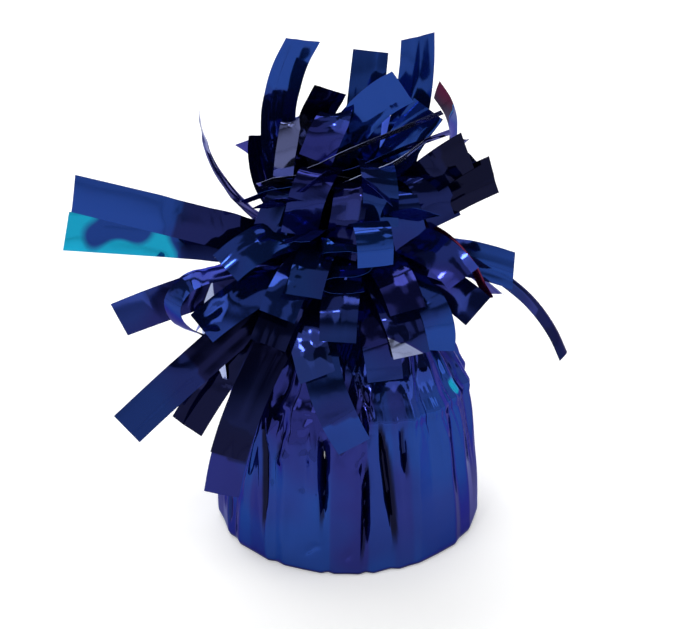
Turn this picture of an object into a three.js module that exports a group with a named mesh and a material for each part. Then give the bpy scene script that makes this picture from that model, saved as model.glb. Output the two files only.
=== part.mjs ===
// Foil balloon weight: a plaster-filled cup wrapped in pleated metallised film, gathered and tied with
// wire at the neck, with a burst of slit film strips above the tie.
// Millimetres, +Z up, origin at the centre of the flat base.
import * as THREE from "three";

// Clearances and sheet stock
const SEAT_GAP = 0.3; // between pieces that rest on or grip each other
const FILM = 0.25; // film thickness
const STRIP_CLEARANCE = 0.5; // least gap kept between two fringe strips away from the neck

// Cup, turned mouth down so that the cast face of the plaster is the broad base
const CUP_HEIGHT = 36;
const CUP_MOUTH_RADIUS = 31.5;
const CUP_FOOT_RADIUS = 28.2;
const CUP_WALL = 0.8;
const CUP_FOOT_FILLET = 5;
const CUP_BEAD = 0.6; // radius of the rolled bead round the mouth

// Plaster cast inside the cup
const PLASTER_RECESS = 0.6; // how far the cast face stops short of the cup's mouth

// Film wrapper, with its radii over the ridges of its folds
const SHOULDER_SLACK = 2.8; // ridges stand off the cup's foot edge by this much
const DOME_HEIGHT = 29; // from the top of the cup to the tie
const NECK_RADIUS = 6.85; // gathered film at the tie
const NECK_LENGTH = 5; // gathered film above the tie
const NECK_FLARE = 0.7;
const FOLD_BASE = 1; // depth of the deepest valleys at the base edge
const FOLD_DOME = 2.6; // their depth on the dome
const FOLD_NECK = 0.7; // and under the tie
const PANEL_DIP = 0.4; // how far the flat panel between two ridges may dip
const BACK_CREASES = 18;

// Wire tie
const WIRE_DIAMETER = 1.2;
const TAIL_TURNS = 3;
const TAIL_OPENING = 1.3; // how much wider the first turn stands next to the neck
const TAIL_LENGTH = 16;
const TAIL_HEADING = 100; // degrees from +X, so the tail lies behind the fringe

// Fringe
const FRINGE_REACH = 74; // from the neck's mouth to the tip of the strip that reaches furthest
const STRIP_WIDTH = 9.2;
const STRIP_ROOT_WIDTH = 1.0;
const ROOT_RING_GAP = 0.5; // between one ring of roots and the next
const ROOT_DEPTH = 4.2; // how far the strips reach down inside the neck
const OPENING_START = 5; // a strip stays folded narrow for this distance out of the neck
const STRIP_OPENING = 22; // and opens to its full width over this one
const STRIP_CUP = 0.5; // rise of a strip's middle above its edges
const ROOT_BEND_LENGTH = 7.5; // length over which a strip turns out of the neck
const ROLL_CLEAR_LENGTH = 4; // a strip keeps its face to the neck this far out of it
const ROLL_LENGTH = 24; // and rolls to its own facing over this one
const HOOK_START = 0.6; // share of the length after which a hooked tip curls

const FILM_BLUE = new THREE.MeshStandardMaterial({ color: 0x1f4396, metalness: 1, roughness: 0.14 });
const CUP_PLASTIC = new THREE.MeshStandardMaterial({ color: 0xe8e8e4, metalness: 0, roughness: 0.45 });
const PLASTER = new THREE.MeshStandardMaterial({ color: 0xd9d5cb, metalness: 0, roughness: 0.95 });
const WIRE_COAT = new THREE.MeshStandardMaterial({ color: 0x1b2f73, metalness: 0, roughness: 0.4 });

const cupBottom = FILM + SEAT_GAP;
const cupTop = cupBottom + CUP_HEIGHT;
const baseRadius = CUP_MOUTH_RADIUS + CUP_BEAD + SEAT_GAP + FILM + FOLD_BASE + PANEL_DIP;
const baseFillet = 1.15 * (CUP_BEAD + SEAT_GAP + FILM);
const shoulderRadius = CUP_FOOT_RADIUS + SHOULDER_SLACK + FILM;
const tieHeight = cupTop + DOME_HEIGHT;
const mouthHeight = tieHeight + NECK_LENGTH;

const radians = THREE.MathUtils.degToRad;
const smooth = (x) => THREE.MathUtils.smoothstep(x, 0, 1);
const mix = THREE.MathUtils.lerp;

// A piece of the assembly, with its own copy of the material.
function piece(name, geometry, material) {
  const mesh = new THREE.Mesh(geometry, material.clone());
  mesh.name = name;
  return mesh;
}

// Triangles that close a ring: a fan for a rounded one, and cross strips for the thin section of a sheet.
function fan(count) {
  return Array.from({ length: count - 2 }, (_, k) => [0, k + 2, k + 1]);
}
function acrossSheet(count) {
  return Array.from({ length: count / 2 - 1 }, (_, k) => [
    [k, count - 1 - k, k + 1],
    [k + 1, count - 1 - k, count - 2 - k],
  ]).flat();
}

// A closed skin through rings of points, each with as many points, closed at both ends. A quad that turned
// names is cut along its other diagonal, so that both faces of a sheet are cut alike and keep their distance.
function skinOf(rings, close, turned) {
  const count = rings[0].length;
  const position = rings.flat().flatMap((p) => [p.x, p.y, p.z]);
  const index = [];
  for (let i = 0; i + 1 < rings.length; i++)
    for (let k = 0; k < count; k++) {
      const a = i * count + k;
      const b = i * count + ((k + 1) % count);
      if (turned(i, k)) index.push(a, b, a + count, b, b + count, a + count);
      else index.push(a, b, b + count, a, b + count, a + count);
    }
  const last = (rings.length - 1) * count;
  for (const [a, b, c] of close(count)) index.push(a, b, c, last + a, last + c, last + b);
  const geometry = new THREE.BufferGeometry();
  geometry.setAttribute("position", new THREE.Float32BufferAttribute(position, 3));
  geometry.setIndex(index);
  return geometry;
}

// Radius of the cup's tapered inner wall at a height, from its mouth up to where its foot rounds over.
function insideCup(height) {
  const share = (height - cupBottom) / (CUP_HEIGHT - CUP_FOOT_FILLET);
  return mix(CUP_MOUTH_RADIUS, CUP_FOOT_RADIUS, share) - CUP_WALL;
}

// Cup: a thin wall with a rounded foot, drawn mouth down, with a bead rolled round its mouth.
function cupGeometry() {
  const profile = new THREE.Path();
  const inner = CUP_FOOT_FILLET - CUP_WALL;
  const centre = CUP_FOOT_RADIUS - CUP_FOOT_FILLET;
  const bead = cupBottom + CUP_BEAD;
  profile.moveTo(0, cupTop - CUP_WALL);
  profile.lineTo(centre, cupTop - CUP_WALL);
  profile.absarc(centre, cupTop - CUP_FOOT_FILLET, inner, Math.PI / 2, 0, true);
  profile.lineTo(insideCup(bead), bead);
  profile.lineTo(insideCup(cupBottom), cupBottom);
  profile.absarc(CUP_MOUTH_RADIUS, bead, CUP_BEAD, -Math.PI / 2, Math.PI / 2, false);
  profile.absarc(centre, cupTop - CUP_FOOT_FILLET, CUP_FOOT_FILLET, 0, Math.PI / 2, false);
  profile.lineTo(0, cupTop);
  return new THREE.LatheGeometry(profile.getPoints(2), 44).rotateX(Math.PI / 2);
}

// Plaster: fills the cup to just short of its mouth, which is the face the weight stands on.
function plasterGeometry() {
  const top = cupTop - CUP_WALL - SEAT_GAP;
  const fillet = CUP_FOOT_FILLET - CUP_WALL - SEAT_GAP;
  const centre = CUP_FOOT_RADIUS - CUP_FOOT_FILLET;
  const profile = new THREE.Path();
  const face = cupBottom + PLASTER_RECESS;
  profile.moveTo(0, face);
  profile.lineTo(insideCup(face) - SEAT_GAP, face);
  profile.absarc(centre, cupTop - CUP_FOOT_FILLET, fillet, 0, Math.PI / 2, false);
  profile.lineTo(0, top);
  return new THREE.LatheGeometry(profile.getPoints(2), 44).rotateX(Math.PI / 2);
}

// Radius over the ridges and height of the wrapper, row by row: base edge, leaning side, dome, waist under
// the tie and flare.
const wrapperSide = new THREE.CatmullRomCurve3(
  [
    [baseRadius, baseFillet],
    [baseRadius, 0.35 * cupTop],
    [mix(baseRadius, shoulderRadius, 0.6), 0.7 * cupTop],
    [shoulderRadius, cupTop],
    [0.9 * shoulderRadius, cupTop + 0.3 * DOME_HEIGHT],
    [0.71 * shoulderRadius, cupTop + 0.6 * DOME_HEIGHT],
    [0.46 * shoulderRadius, cupTop + 0.8 * DOME_HEIGHT],
    [1.12 * NECK_RADIUS, cupTop + 0.95 * DOME_HEIGHT],
    [NECK_RADIUS, tieHeight],
    [NECK_RADIUS + NECK_FLARE, mouthHeight],
  ].map(([radius, height]) => new THREE.Vector3(radius, 0, height)),
  false,
  "chordal",
);
const wrapperRows = [
  new THREE.Vector3(baseRadius - baseFillet, 0, 0),
  new THREE.Vector3(baseRadius - 0.3 * baseFillet, 0, 0.3 * baseFillet),
  ...wrapperSide.getSpacedPoints(16),
];
const WRAPPER_ROWS = wrapperRows.length - 1;

// Creases of the wrapper in order round it, a ridge and a valley in turn: headings in degrees at the base and
// on the dome, and depths there as shares of FOLD_BASE and FOLD_DOME. The film runs straight from one crease
// to the next, so wide panels stay flat. The photographed side comes first.
const CREASES = [
  [186, 188, 0, 0.1],
  [195, 198, 0.7, 0.9],
  [205, 209, 0, 0.1],
  [210, 217, 0.7, 0.9],
  [214.5, 223, 0, 0],
  [224, 224.8, 0.5, 0.3],
  [233, 226.8, 0, 0.1],
  [236.5, 231, 0.8, 0.9],
  [241, 240, 0.2, 0.1],
  [250, 249, 0.4, 0.7],
  [258.5, 254, 0, 0],
  [261, 257.5, 0.9, 0.8],
  [264, 262, 0.1, 0.1],
  [269, 268, 0.3, 0.6],
  [275, 273.5, 0, 0],
  [278, 276.5, 0.9, 0.7],
  [281, 279.5, 0, 0.2],
  [289.5, 283, 1, 0.8],
  [293, 287, 0, 0],
  [298, 296, 0.3, 0.9],
  [303, 303.5, 0.1, 0],
  [313, 311, 0.5, 0.8],
  [325, 322, 0, 0],
  [330, 329, 0.6, 0.9],
  [338, 336, 0, 0.1],
  [346, 346, 0.3, 0.9],
];
for (let k = 0; k < BACK_CREASES; k++) {
  const heading = 355 + (184 * k) / BACK_CREASES + 2 * Math.sin(2.3 * k);
  const valley = k % 2;
  const low = valley * (0.7 + 0.3 * Math.sin(3 * k));
  CREASES.push([heading, heading + 2 * Math.sin(1.7 * k), low, valley * 0.85]);
}

// Where a crease stands at a height. It turns from its heading at the base to the one on the dome, where the
// folds are deepest, and then takes an even share of the gathered neck.
const deepestFolds = cupTop + 0.35 * DOME_HEIGHT;
function creasePoint(k, radius, height, at) {
  const [base, dome, low, high] = CREASES[k];
  const climb = smooth(at / deepestFolds);
  const squeeze = smooth((at - deepestFolds) / (tieHeight - deepestFolds));
  const gathered = CREASES[0][0] + (360 * k) / CREASES.length;
  const heading = radians(mix(mix(base, dome, climb), gathered, squeeze));
  const depth = mix(mix(low * FOLD_BASE, high * FOLD_DOME, climb), (k % 2) * FOLD_NECK, squeeze);
  return new THREE.Vector3(Math.cos(heading), Math.sin(heading), 0)
    .multiplyScalar(radius - depth)
    .setZ(height);
}

// Film wrapper: one sheet under the base, up the side and gathered into the neck, open at the neck's mouth.
function wrapperGeometry() {
  const ring = (radius, height, at) => CREASES.map((_, k) => creasePoint(k, radius, height, at));
  const outside = wrapperRows.map((p) => ring(p.x, p.z, p.z));
  const inside = wrapperRows.map((p, i) => {
    const before = wrapperRows[Math.max(0, i - 1)];
    const after = wrapperRows[Math.min(WRAPPER_ROWS, i + 1)];
    const along = after.clone().sub(before).normalize();
    if (i === 0) return ring(p.x - FILM / 2, FILM, p.z);
    if (i === WRAPPER_ROWS) return ring(p.x - FILM, p.z, p.z);
    return ring(p.x - FILM * along.z, p.z + FILM * along.x, p.z);
  });
  return skinOf([...outside, ...inside.reverse()], fan, (row) => row > WRAPPER_ROWS);
}

// Radius over the wrapper's ridges at a height, to keep the fringe clear of it.
function wrapperReach(height) {
  if (height > mouthHeight) return 0;
  const above = wrapperRows.findIndex((p) => p.z >= height);
  if (above <= 0) return baseRadius;
  const low = wrapperRows[above - 1];
  const high = wrapperRows[above];
  return mix(low.x, high.x, (height - low.z) / (high.z - low.z));
}

// Wire tie: one length of coated wire, round the neck and twisted on itself into a short tail.
function tiePath() {
  const wire = WIRE_DIAMETER / 2;
  const loop = NECK_RADIUS + SEAT_GAP + wire;
  const strand = wire + 0.9 * SEAT_GAP;
  const start = loop + 2.5 * WIRE_DIAMETER;
  const heading = radians(TAIL_HEADING);
  const out = new THREE.Vector3(Math.cos(heading), Math.sin(heading), 0);
  const across = new THREE.Vector3(-Math.sin(heading), Math.cos(heading), 0);
  const up = new THREE.Vector3(0, 0, 1);
  const middle = new THREE.Vector3(0, 0, tieHeight);
  const tail = (side) =>
    Array.from({ length: TAIL_TURNS * 8 + 1 }, (_, k) => {
      const t = k / (TAIL_TURNS * 8);
      const turn = 2 * Math.PI * TAIL_TURNS * t;
      const opening = strand * mix(TAIL_OPENING, 1, smooth(TAIL_TURNS * t));
      return middle
        .clone()
        .addScaledVector(out, start + TAIL_LENGTH * t)
        .addScaledVector(across, side * opening * Math.cos(turn))
        .addScaledVector(up, side * opening * Math.sin(turn));
    });
  const gape = 26; // degrees on either side of the tail where the wire leaves the neck
  const round = Array.from({ length: 25 }, (_, k) => {
    const angle = heading + radians(mix(gape, 360 - gape, k / 24));
    return new THREE.Vector3(loop * Math.cos(angle), loop * Math.sin(angle), tieHeight);
  });
  return new THREE.CatmullRomCurve3([...tail(1).reverse(), ...round, ...tail(-1)], false, "centripetal");
}

// The tail as rungs, for keeping the strips off it.
function tailRungs() {
  const heading = radians(TAIL_HEADING);
  const out = new THREE.Vector3(Math.cos(heading), Math.sin(heading), 0);
  const near = NECK_RADIUS;
  const far = NECK_RADIUS + 3.5 * WIRE_DIAMETER + TAIL_LENGTH;
  const pitch = 1.6 * WIRE_DIAMETER;
  const rungs = [];
  for (let r = near; r < far; r += pitch) {
    const start = out.clone().multiplyScalar(r).setZ(tieHeight);
    const end = out.clone().multiplyScalar(r + pitch).setZ(tieHeight);
    const middle = start.clone().lerp(end, 0.5);
    const run = ROOT_BEND_LENGTH;
    const pad = 1.4 * WIRE_DIAMETER;
    const half = pitch / 2 + pad;
    rungs.push({ start, end, middle, normal: new THREE.Vector3(), run, thick: 0, half, pad });
  }
  return rungs;
}

// Least gap between turns of the wire: the distance between points of its path, less its diameter. Points
// nearer than this along the wire are neighbours in the same turn and aren't compared.
function leastGapOfTie(path) {
  const sameTurn = 3 * WIRE_DIAMETER;
  const pitch = WIRE_DIAMETER / 6;
  const points = path.getSpacedPoints(Math.ceil(path.getLength() / pitch));
  let least = Infinity;
  for (let i = 0; i < points.length; i++)
    for (let j = i + Math.ceil(sameTurn / pitch); j < points.length; j++)
      least = Math.min(least, points[i].distanceTo(points[j]));
  return least - WIRE_DIAMETER;
}

function tieGeometry() {
  const path = tiePath();
  console.log(`wire_tie: least gap to itself ${leastGapOfTie(path).toFixed(2)} mm`);
  const section = new THREE.Shape();
  const sides = 6;
  for (let k = 0; k < sides; k++) {
    const angle = (2 * Math.PI * k) / sides;
    const x = (WIRE_DIAMETER / 2) * Math.cos(angle);
    const y = (WIRE_DIAMETER / 2) * Math.sin(angle);
    if (k === 0) section.moveTo(x, y);
    else section.lineTo(x, y);
  }
  return new THREE.ExtrudeGeometry(section, { steps: 110, bevelEnabled: false, extrudePath: path });
}

// Fringe strips. Each is placed by where its tip lies from the middle of the neck's mouth: heading in
// degrees from +X towards +Y, rise in degrees above level, and reach as a share of FRINGE_REACH. curl bends
// it evenly along its length and hook bends its outer end, both downwards in degrees. bow carries its middle
// sideways by a share of its reach, and roll turns its face about its length. width is the share of
// STRIP_WIDTH that is left of a strip folded narrow, and cut slants its end.
const STRIPS = [
  // Outermost strips, whose places matter most to the outline
  { heading: 156, rise: 79, reach: 0.81, curl: -90, roll: -60, cut: -14 },
  { heading: 36, rise: 70, reach: 0.81, curl: -46, roll: 50, cut: -16 },
  { heading: 68, rise: 74, reach: 0.74, curl: 6, roll: 20 },
  { heading: 180, rise: 49, reach: 0.76, curl: -80, roll: 0, width: 0.82 },
  { heading: 195, rise: 23, reach: 1.00, roll: -63, cut: -12 },
  { heading: 180, rise: 8, reach: 0.96, roll: -62, cut: 6 },
  { heading: 193, rise: 1, reach: 0.80, curl: 6, roll: -60, cut: -8 },
  { heading: 355, rise: -23, reach: 0.80, curl: 90, roll: 20, width: 0.46 },
  { heading: 202, rise: -28, reach: 0.93, curl: 6, roll: -56 },
  { heading: 218, rise: -50, reach: 0.89, curl: 40, roll: -42 },
  { heading: 344, rise: 50, reach: 0.64, curl: 30, roll: 80, cut: 12 },
  { heading: 341, rise: 39, reach: 0.64, curl: 20, roll: 76, cut: 10 },
  { heading: 349, rise: 4, reach: 0.57, curl: 30, roll: 60, cut: -14 },
  { heading: 273, rise: -43, reach: 0.65, curl: 55, bow: -0.17 },
  { heading: 211, rise: -10, reach: 0.55, curl: 10, hook: 165, roll: -20, width: 0.6 },
  { heading: 13, rise: 64, reach: 0.70, curl: -60, hook: -30, roll: -24, width: 0.76 },
  { heading: 8, rise: 66, reach: 0.62, curl: 30, roll: 74 },
  // Second row of the left, top and right
  { heading: 171, rise: 50, reach: 0.55, curl: -90, roll: -10, cut: 20 },
  { heading: 150, rise: 84, reach: 0.65, curl: -70, roll: -60 },
  { heading: 335, rise: 75, reach: 0.70, curl: 70, roll: -80 },
  { heading: 21, rise: 49, reach: 0.59, curl: 50, roll: -30 },
  { heading: 214, rise: -42, reach: 0.78, curl: 24, roll: -48 },
  { heading: 227, rise: -40, reach: 0.77, curl: 40, roll: -38 },
  { heading: 334, rise: -5, reach: 0.50, curl: 40, roll: 56 },
  { heading: 3, rise: -9, reach: 0.53, curl: 30, roll: -28 },
  { heading: 312, rise: -18, reach: 0.46, curl: 70, hook: 50, roll: 36 },
  // Front
  { heading: 219, rise: -1, reach: 0.55, curl: 70, roll: -50 },
  { heading: 240, rise: -6, reach: 0.53, curl: 80, roll: -36 },
  { heading: 259, rise: -18, reach: 0.52, curl: 80, bow: -0.16 },
  { heading: 303, rise: 30, reach: 0.45, curl: 60, roll: 50 },
  { heading: 280, rise: 26, reach: 0.47, curl: 30, hook: 110 },
  { heading: 297, rise: -14, reach: 0.48, curl: 90, roll: 25 },
  { heading: 240, rise: 64, reach: 0.47, curl: 90, roll: 45 },
  { heading: 300, rise: 66, reach: 0.49, curl: 80, roll: -45 },
  { heading: 272, rise: 52, reach: 0.47, curl: 100, roll: 20 },
  { heading: 218, rise: 50, reach: 0.49, curl: 90, roll: 35 },
  { heading: 326, rise: 48, reach: 0.50, curl: 80, roll: -30 },
  { heading: 252, rise: 18, reach: 0.49, curl: 110 },
  { heading: 216, rise: 20, reach: 0.52, curl: 90, roll: -40 },
  { heading: 240, rise: 6, reach: 0.51, curl: 100, roll: -20 },
  { heading: 266, rise: -2, reach: 0.50, curl: 110 },
  { heading: 322, rise: 14, reach: 0.52, curl: 80, roll: 40 },
  { heading: 283, rise: -20, reach: 0.50, curl: 90, roll: 10 },
  { heading: 300, rise: 8, reach: 0.49, curl: 100, roll: 15 },
  // Back
  { heading: 40, rise: 26, reach: 0.62, curl: 30, roll: 20 },
  { heading: 62, rise: 40, reach: 0.59, curl: 40 },
  { heading: 78, rise: 22, reach: 0.70, curl: 50 },
  { heading: 102, rise: 50, reach: 0.59, curl: 40, roll: -15 },
  { heading: 125, rise: 28, reach: 0.65, curl: 40 },
  { heading: 146, rise: 42, reach: 0.54, curl: 30, roll: -30 },
  { heading: 28, rise: -14, reach: 0.59, curl: 60 },
  { heading: 50, rise: -30, reach: 0.70, curl: 70 },
  { heading: 76, rise: -14, reach: 0.68, curl: 80 },
  { heading: 106, rise: -34, reach: 0.70, curl: 70 },
  { heading: 132, rise: -12, reach: 0.70, curl: 60 },
  { heading: 158, rise: -32, reach: 0.65, curl: 60 },
];

// The strips' roots stand in rings inside the neck, spaced so that the rings just hold them all.
const outerRootRadius = NECK_RADIUS - FOLD_NECK - FILM - ROOT_RING_GAP - FILM / 2;
function rootSlots(wanted) {
  let slots = [];
  for (let sidePitch = 3 * STRIP_ROOT_WIDTH; slots.length < wanted; sidePitch *= 0.98) {
    slots = [];
    for (let ring = 0; outerRootRadius - ring * (FILM + ROOT_RING_GAP) > STRIP_ROOT_WIDTH; ring++) {
      const radius = outerRootRadius - ring * (FILM + ROOT_RING_GAP);
      const count = Math.floor((2 * Math.PI * radius) / sidePitch);
      for (let k = 0; k < count; k++)
        slots.push({ ring, radius, angle: (360 * (k + 0.5 * (ring % 2))) / count });
    }
  }
  return slots;
}

const turnBetween = (a, b) => Math.abs(((((a - b) % 360) + 540) % 360) - 180);
const launchOf = ({ rise, curl = 0, hook = 0 }) => rise + curl / 2 + hook / 4;

// The strips that leave lowest take the outer ring, each in the free slot nearest to its heading.
const RING_COST = 2; // a root goes this many millimetres round its ring before it takes the next one in
function assignRoots(strips) {
  const free = rootSlots(strips.length);
  for (const strip of [...strips].sort((a, b) => launchOf(a) - launchOf(b))) {
    const away = (slot) => radians(turnBetween(slot.angle, strip.heading)) * slot.radius;
    const cost = (slot) => slot.ring * RING_COST + away(slot);
    free.sort((a, b) => cost(a) - cost(b));
    strip.root = free.shift();
  }
}

// Where a strip runs in its own upright plane: level distance, height and direction, step by step. It leaves
// the neck upright, turns to its launch angle over ROOT_BEND_LENGTH, then bends by its curl and hook.
const PATH_STEPS = 48;
function bentPath(launch, length, curl, hook) {
  const path = [{ out: 0, up: 0, angle: Math.PI / 2 }];
  const step = length / PATH_STEPS;
  for (let i = 1; i <= PATH_STEPS; i++) {
    const u = (i - 0.5) / PATH_STEPS;
    const turned = smooth((u * length) / ROOT_BEND_LENGTH);
    const bend = radians(curl) * u + radians(hook) * smooth((u - HOOK_START) / (1 - HOOK_START));
    const angle = mix(Math.PI / 2, launch - bend, turned);
    const last = path[i - 1];
    path.push({ out: last.out + step * Math.cos(angle), up: last.up + step * Math.sin(angle), angle });
  }
  return path;
}

// The launch angle and length are found so that the bent strip ends at the wanted tip.
function pathToTip(level, height, curl, hook) {
  const wanted = Math.atan2(height, level);
  const span = Math.hypot(level, height);
  let launch = wanted + radians(curl) / 2;
  let length = 1.1 * span;
  for (let pass = 0; pass < 10; pass++) {
    const end = bentPath(launch, length, curl, hook)[PATH_STEPS];
    launch += wanted - Math.atan2(end.up, end.out);
    length *= span / Math.hypot(end.out, end.up);
  }
  return { path: bentPath(launch, length, curl, hook), length };
}

// Stations of a strip: its middle, its directions along and across, its half width, cupping and end slant.
function layStrip(strip, { turn, lift, bend }) {
  const { hook = 0, roll = 0, cut = 0, root } = strip;
  const curl = bend * (strip.curl ?? 0);
  const reach = strip.reach * FRINGE_REACH;
  const bow = (strip.bow ?? 0) * reach;
  const width = (strip.width ?? 1) * STRIP_WIDTH;
  const heading = radians(strip.heading + turn);
  const rise = radians(strip.rise + lift);
  const rootAngle = radians(root.angle);
  const start = new THREE.Vector3(Math.cos(rootAngle), Math.sin(rootAngle), 0);
  start.multiplyScalar(root.radius).setZ(mouthHeight);
  const level = reach * Math.cos(rise);
  const tip = new THREE.Vector3(level * Math.cos(heading), level * Math.sin(heading), 0);
  const away = Math.atan2(tip.y - start.y, tip.x - start.x);
  const side = Math.hypot(tip.x - start.x, tip.y - start.y);
  const { path, length } = pathToTip(side, reach * Math.sin(rise), curl, hook);
  const places = path.map(({ out, up }, i) => {
    const aside = bow * Math.sin((Math.PI * i) / PATH_STEPS);
    const x = start.x + out * Math.cos(away) - aside * Math.sin(away);
    const y = start.y + out * Math.sin(away) + aside * Math.cos(away);
    return new THREE.Vector3(x, y, mouthHeight + up);
  });
  const swing = THREE.MathUtils.euclideanModulo(away - rootAngle + Math.PI, 2 * Math.PI) - Math.PI;
  const stations = places.map((middle, i) => {
    const u = i / PATH_STEPS;
    const run = u * length;
    const after = places[Math.min(PATH_STEPS, i + 1)];
    const along = i === 0 ? new THREE.Vector3(0, 0, 1) : after.clone().sub(places[i - 1]).normalize();
    const facing = rootAngle + swing * smooth(run / ROOT_BEND_LENGTH);
    const across = new THREE.Vector3(-Math.sin(facing), Math.cos(facing), 0);
    across.addScaledVector(along, -across.dot(along)).normalize();
    across.applyAxisAngle(along, radians(roll) * smooth((run - ROLL_CLEAR_LENGTH) / ROLL_LENGTH));
    const open = smooth((run - OPENING_START) / STRIP_OPENING);
    return {
      middle,
      along,
      across,
      normal: along.clone().cross(across),
      half: mix(STRIP_ROOT_WIDTH, width, open) / 2,
      cup: mix(STRIP_ROOT_WIDTH ** 2 / (8 * root.radius), STRIP_CUP, open),
      slant: Math.tan(radians(cut)) * smooth((u - 0.7) / 0.3),
      run,
    };
  });
  // Rings of the mesh stand closer together where the strip turns out of the neck.
  const foot = { ...stations[0], middle: start.clone().setZ(mouthHeight - ROOT_DEPTH), run: -ROOT_DEPTH };
  const marks = [0, 0.22, 0.39, 0.55, 0.72, 0.89, 1.1, 1.55].map((share) => share * ROOT_BEND_LENGTH);
  const rest = [0.42, 0.55, 0.68, 0.79, 0.9, 1].map((share) => share * length);
  const runs = [...marks, ...rest.filter((run) => run > 1.2 * marks.at(-1))];
  return [foot, ...runs.map((run) => stations[Math.round((run / length) * PATH_STEPS)])];
}

// A point of a station: s runs from -1 to 1 across the strip, and face is -1 or 1 for its two sides.
function stationPoint({ middle, along, across, normal, half, cup, slant }, s, face) {
  return middle
    .clone()
    .addScaledVector(across, s * half)
    .addScaledVector(along, s * half * slant)
    .addScaledVector(normal, cup * (1 - s * s) + (face * FILM) / 2);
}

function stripGeometry(stations) {
  const rings = stations.map((station) => [
    ...[-1, 0, 1].map((s) => stationPoint(station, s, -1)),
    ...[1, 0, -1].map((s) => stationPoint(station, s, 1)),
  ]);
  return skinOf(rings, acrossSheet, (ring, k) => k > 2);
}

// Rungs laid across a strip stand for its sheet when gaps are measured, closer together near the neck.
const CROWDED_LENGTH = 14;
const ROOT_RUNG_PITCH = 0.6;
const RUNG_PITCH = 1.3;
function rungsOf(stations) {
  const ends = stations.map((station) => {
    const lift = station.cup / 2;
    const start = stationPoint(station, -1, 0).addScaledVector(station.normal, lift);
    const end = stationPoint(station, 1, 0).addScaledVector(station.normal, lift);
    return { start, end, station };
  });
  const rungs = [];
  for (let i = 1; i < ends.length; i++) {
    const a = ends[i - 1];
    const b = ends[i];
    const pitch = a.station.run < CROWDED_LENGTH ? ROOT_RUNG_PITCH : RUNG_PITCH;
    const count = Math.max(1, Math.ceil((b.station.run - a.station.run) / pitch));
    for (let k = 1; k <= count; k++) {
      const t = k / count;
      const start = a.start.clone().lerp(b.start, t);
      const end = a.end.clone().lerp(b.end, t);
      const middle = start.clone().lerp(end, 0.5);
      const normal = a.station.normal.clone().lerp(b.station.normal, t).normalize();
      const run = mix(a.station.run, b.station.run, t);
      const thick = (FILM + mix(a.station.cup, b.station.cup, t)) / 2;
      rungs.push({ start, end, middle, normal, run, thick, half: start.distanceTo(end) / 2 });
    }
  }
  return rungs;
}

// Rungs in bundles, each with a ball round it, so that far parts of strips are passed over quickly.
const BUNDLE = 6;
function bundlesOf(rungs) {
  const bundles = [];
  for (let i = 0; i < rungs.length; i += BUNDLE) {
    const members = rungs.slice(i, i + BUNDLE);
    const centre = members[0].middle.clone().lerp(members.at(-1).middle, 0.5);
    const radius = Math.max(...members.map(({ middle, half }) => middle.distanceTo(centre) + half));
    bundles.push({ centre, radius, members });
  }
  return bundles;
}

// Gap between the sheets at two rungs: the distance between the segments, less half of each film.
const d1 = new THREE.Vector3();
const d2 = new THREE.Vector3();
const apart = new THREE.Vector3();
function rungGap(a, b) {
  d1.subVectors(a.end, a.start);
  d2.subVectors(b.end, b.start);
  apart.subVectors(a.start, b.start);
  const aa = d1.dot(d1);
  const bb = d2.dot(d2);
  const ab = d1.dot(d2);
  const ar = d1.dot(apart);
  const br = d2.dot(apart);
  const det = aa * bb - ab * ab;
  let s = det > 1e-9 ? THREE.MathUtils.clamp((ab * br - ar * bb) / det, 0, 1) : 0.5;
  let t = (ab * s + br) / bb;
  if (t < 0 || t > 1) {
    t = THREE.MathUtils.clamp(t, 0, 1);
    s = THREE.MathUtils.clamp((ab * t - ar) / aa, 0, 1);
  }
  apart.addScaledVector(d1, s).addScaledVector(d2, -t);
  const distance = apart.length();
  if (distance < 1e-6) return -1;
  const through = a.thick * Math.abs(a.normal.dot(apart)) + b.thick * Math.abs(b.normal.dot(apart));
  return distance - through / distance - (a.pad ?? 0) - (b.pad ?? 0);
}

// How far the worst pair of rungs falls short of the gap wanted, which grows away from the neck.
function shortfall(bundles, others, most) {
  let worst = 0;
  for (const p of bundles)
    for (const q of others) {
      if (p.centre.distanceTo(q.centre) > p.radius + q.radius + STRIP_CLEARANCE + FILM + STRIP_CUP) continue;
      for (const a of p.members)
        for (const b of q.members) {
          const near = Math.max(0, Math.min(a.run, b.run));
          const wanted = mix(0.7 * ROOT_RING_GAP, STRIP_CLEARANCE, smooth(near / STRIP_OPENING));
          if (a.middle.distanceTo(b.middle) > a.half + b.half + wanted + FILM + STRIP_CUP) continue;
          worst = Math.max(worst, wanted - rungGap(a, b));
          if (worst > most) return worst;
        }
    }
  return worst;
}

// Strips hang clear of the wrapper once they have left the neck.
const NECK_CLEAR_LENGTH = 2.5;
function bodyShortfall(rungs) {
  let worst = 0;
  for (const { start, end, middle, run } of rungs) {
    if (run < NECK_CLEAR_LENGTH) continue;
    for (const p of [start, middle, end]) {
      if (p.z > mouthHeight + FILM + SEAT_GAP) continue;
      const keep = wrapperReach(Math.min(p.z, mouthHeight)) + FILM + 2 * SEAT_GAP;
      worst = Math.max(worst, keep - Math.hypot(p.x, p.y));
    }
  }
  return worst;
}

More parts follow.
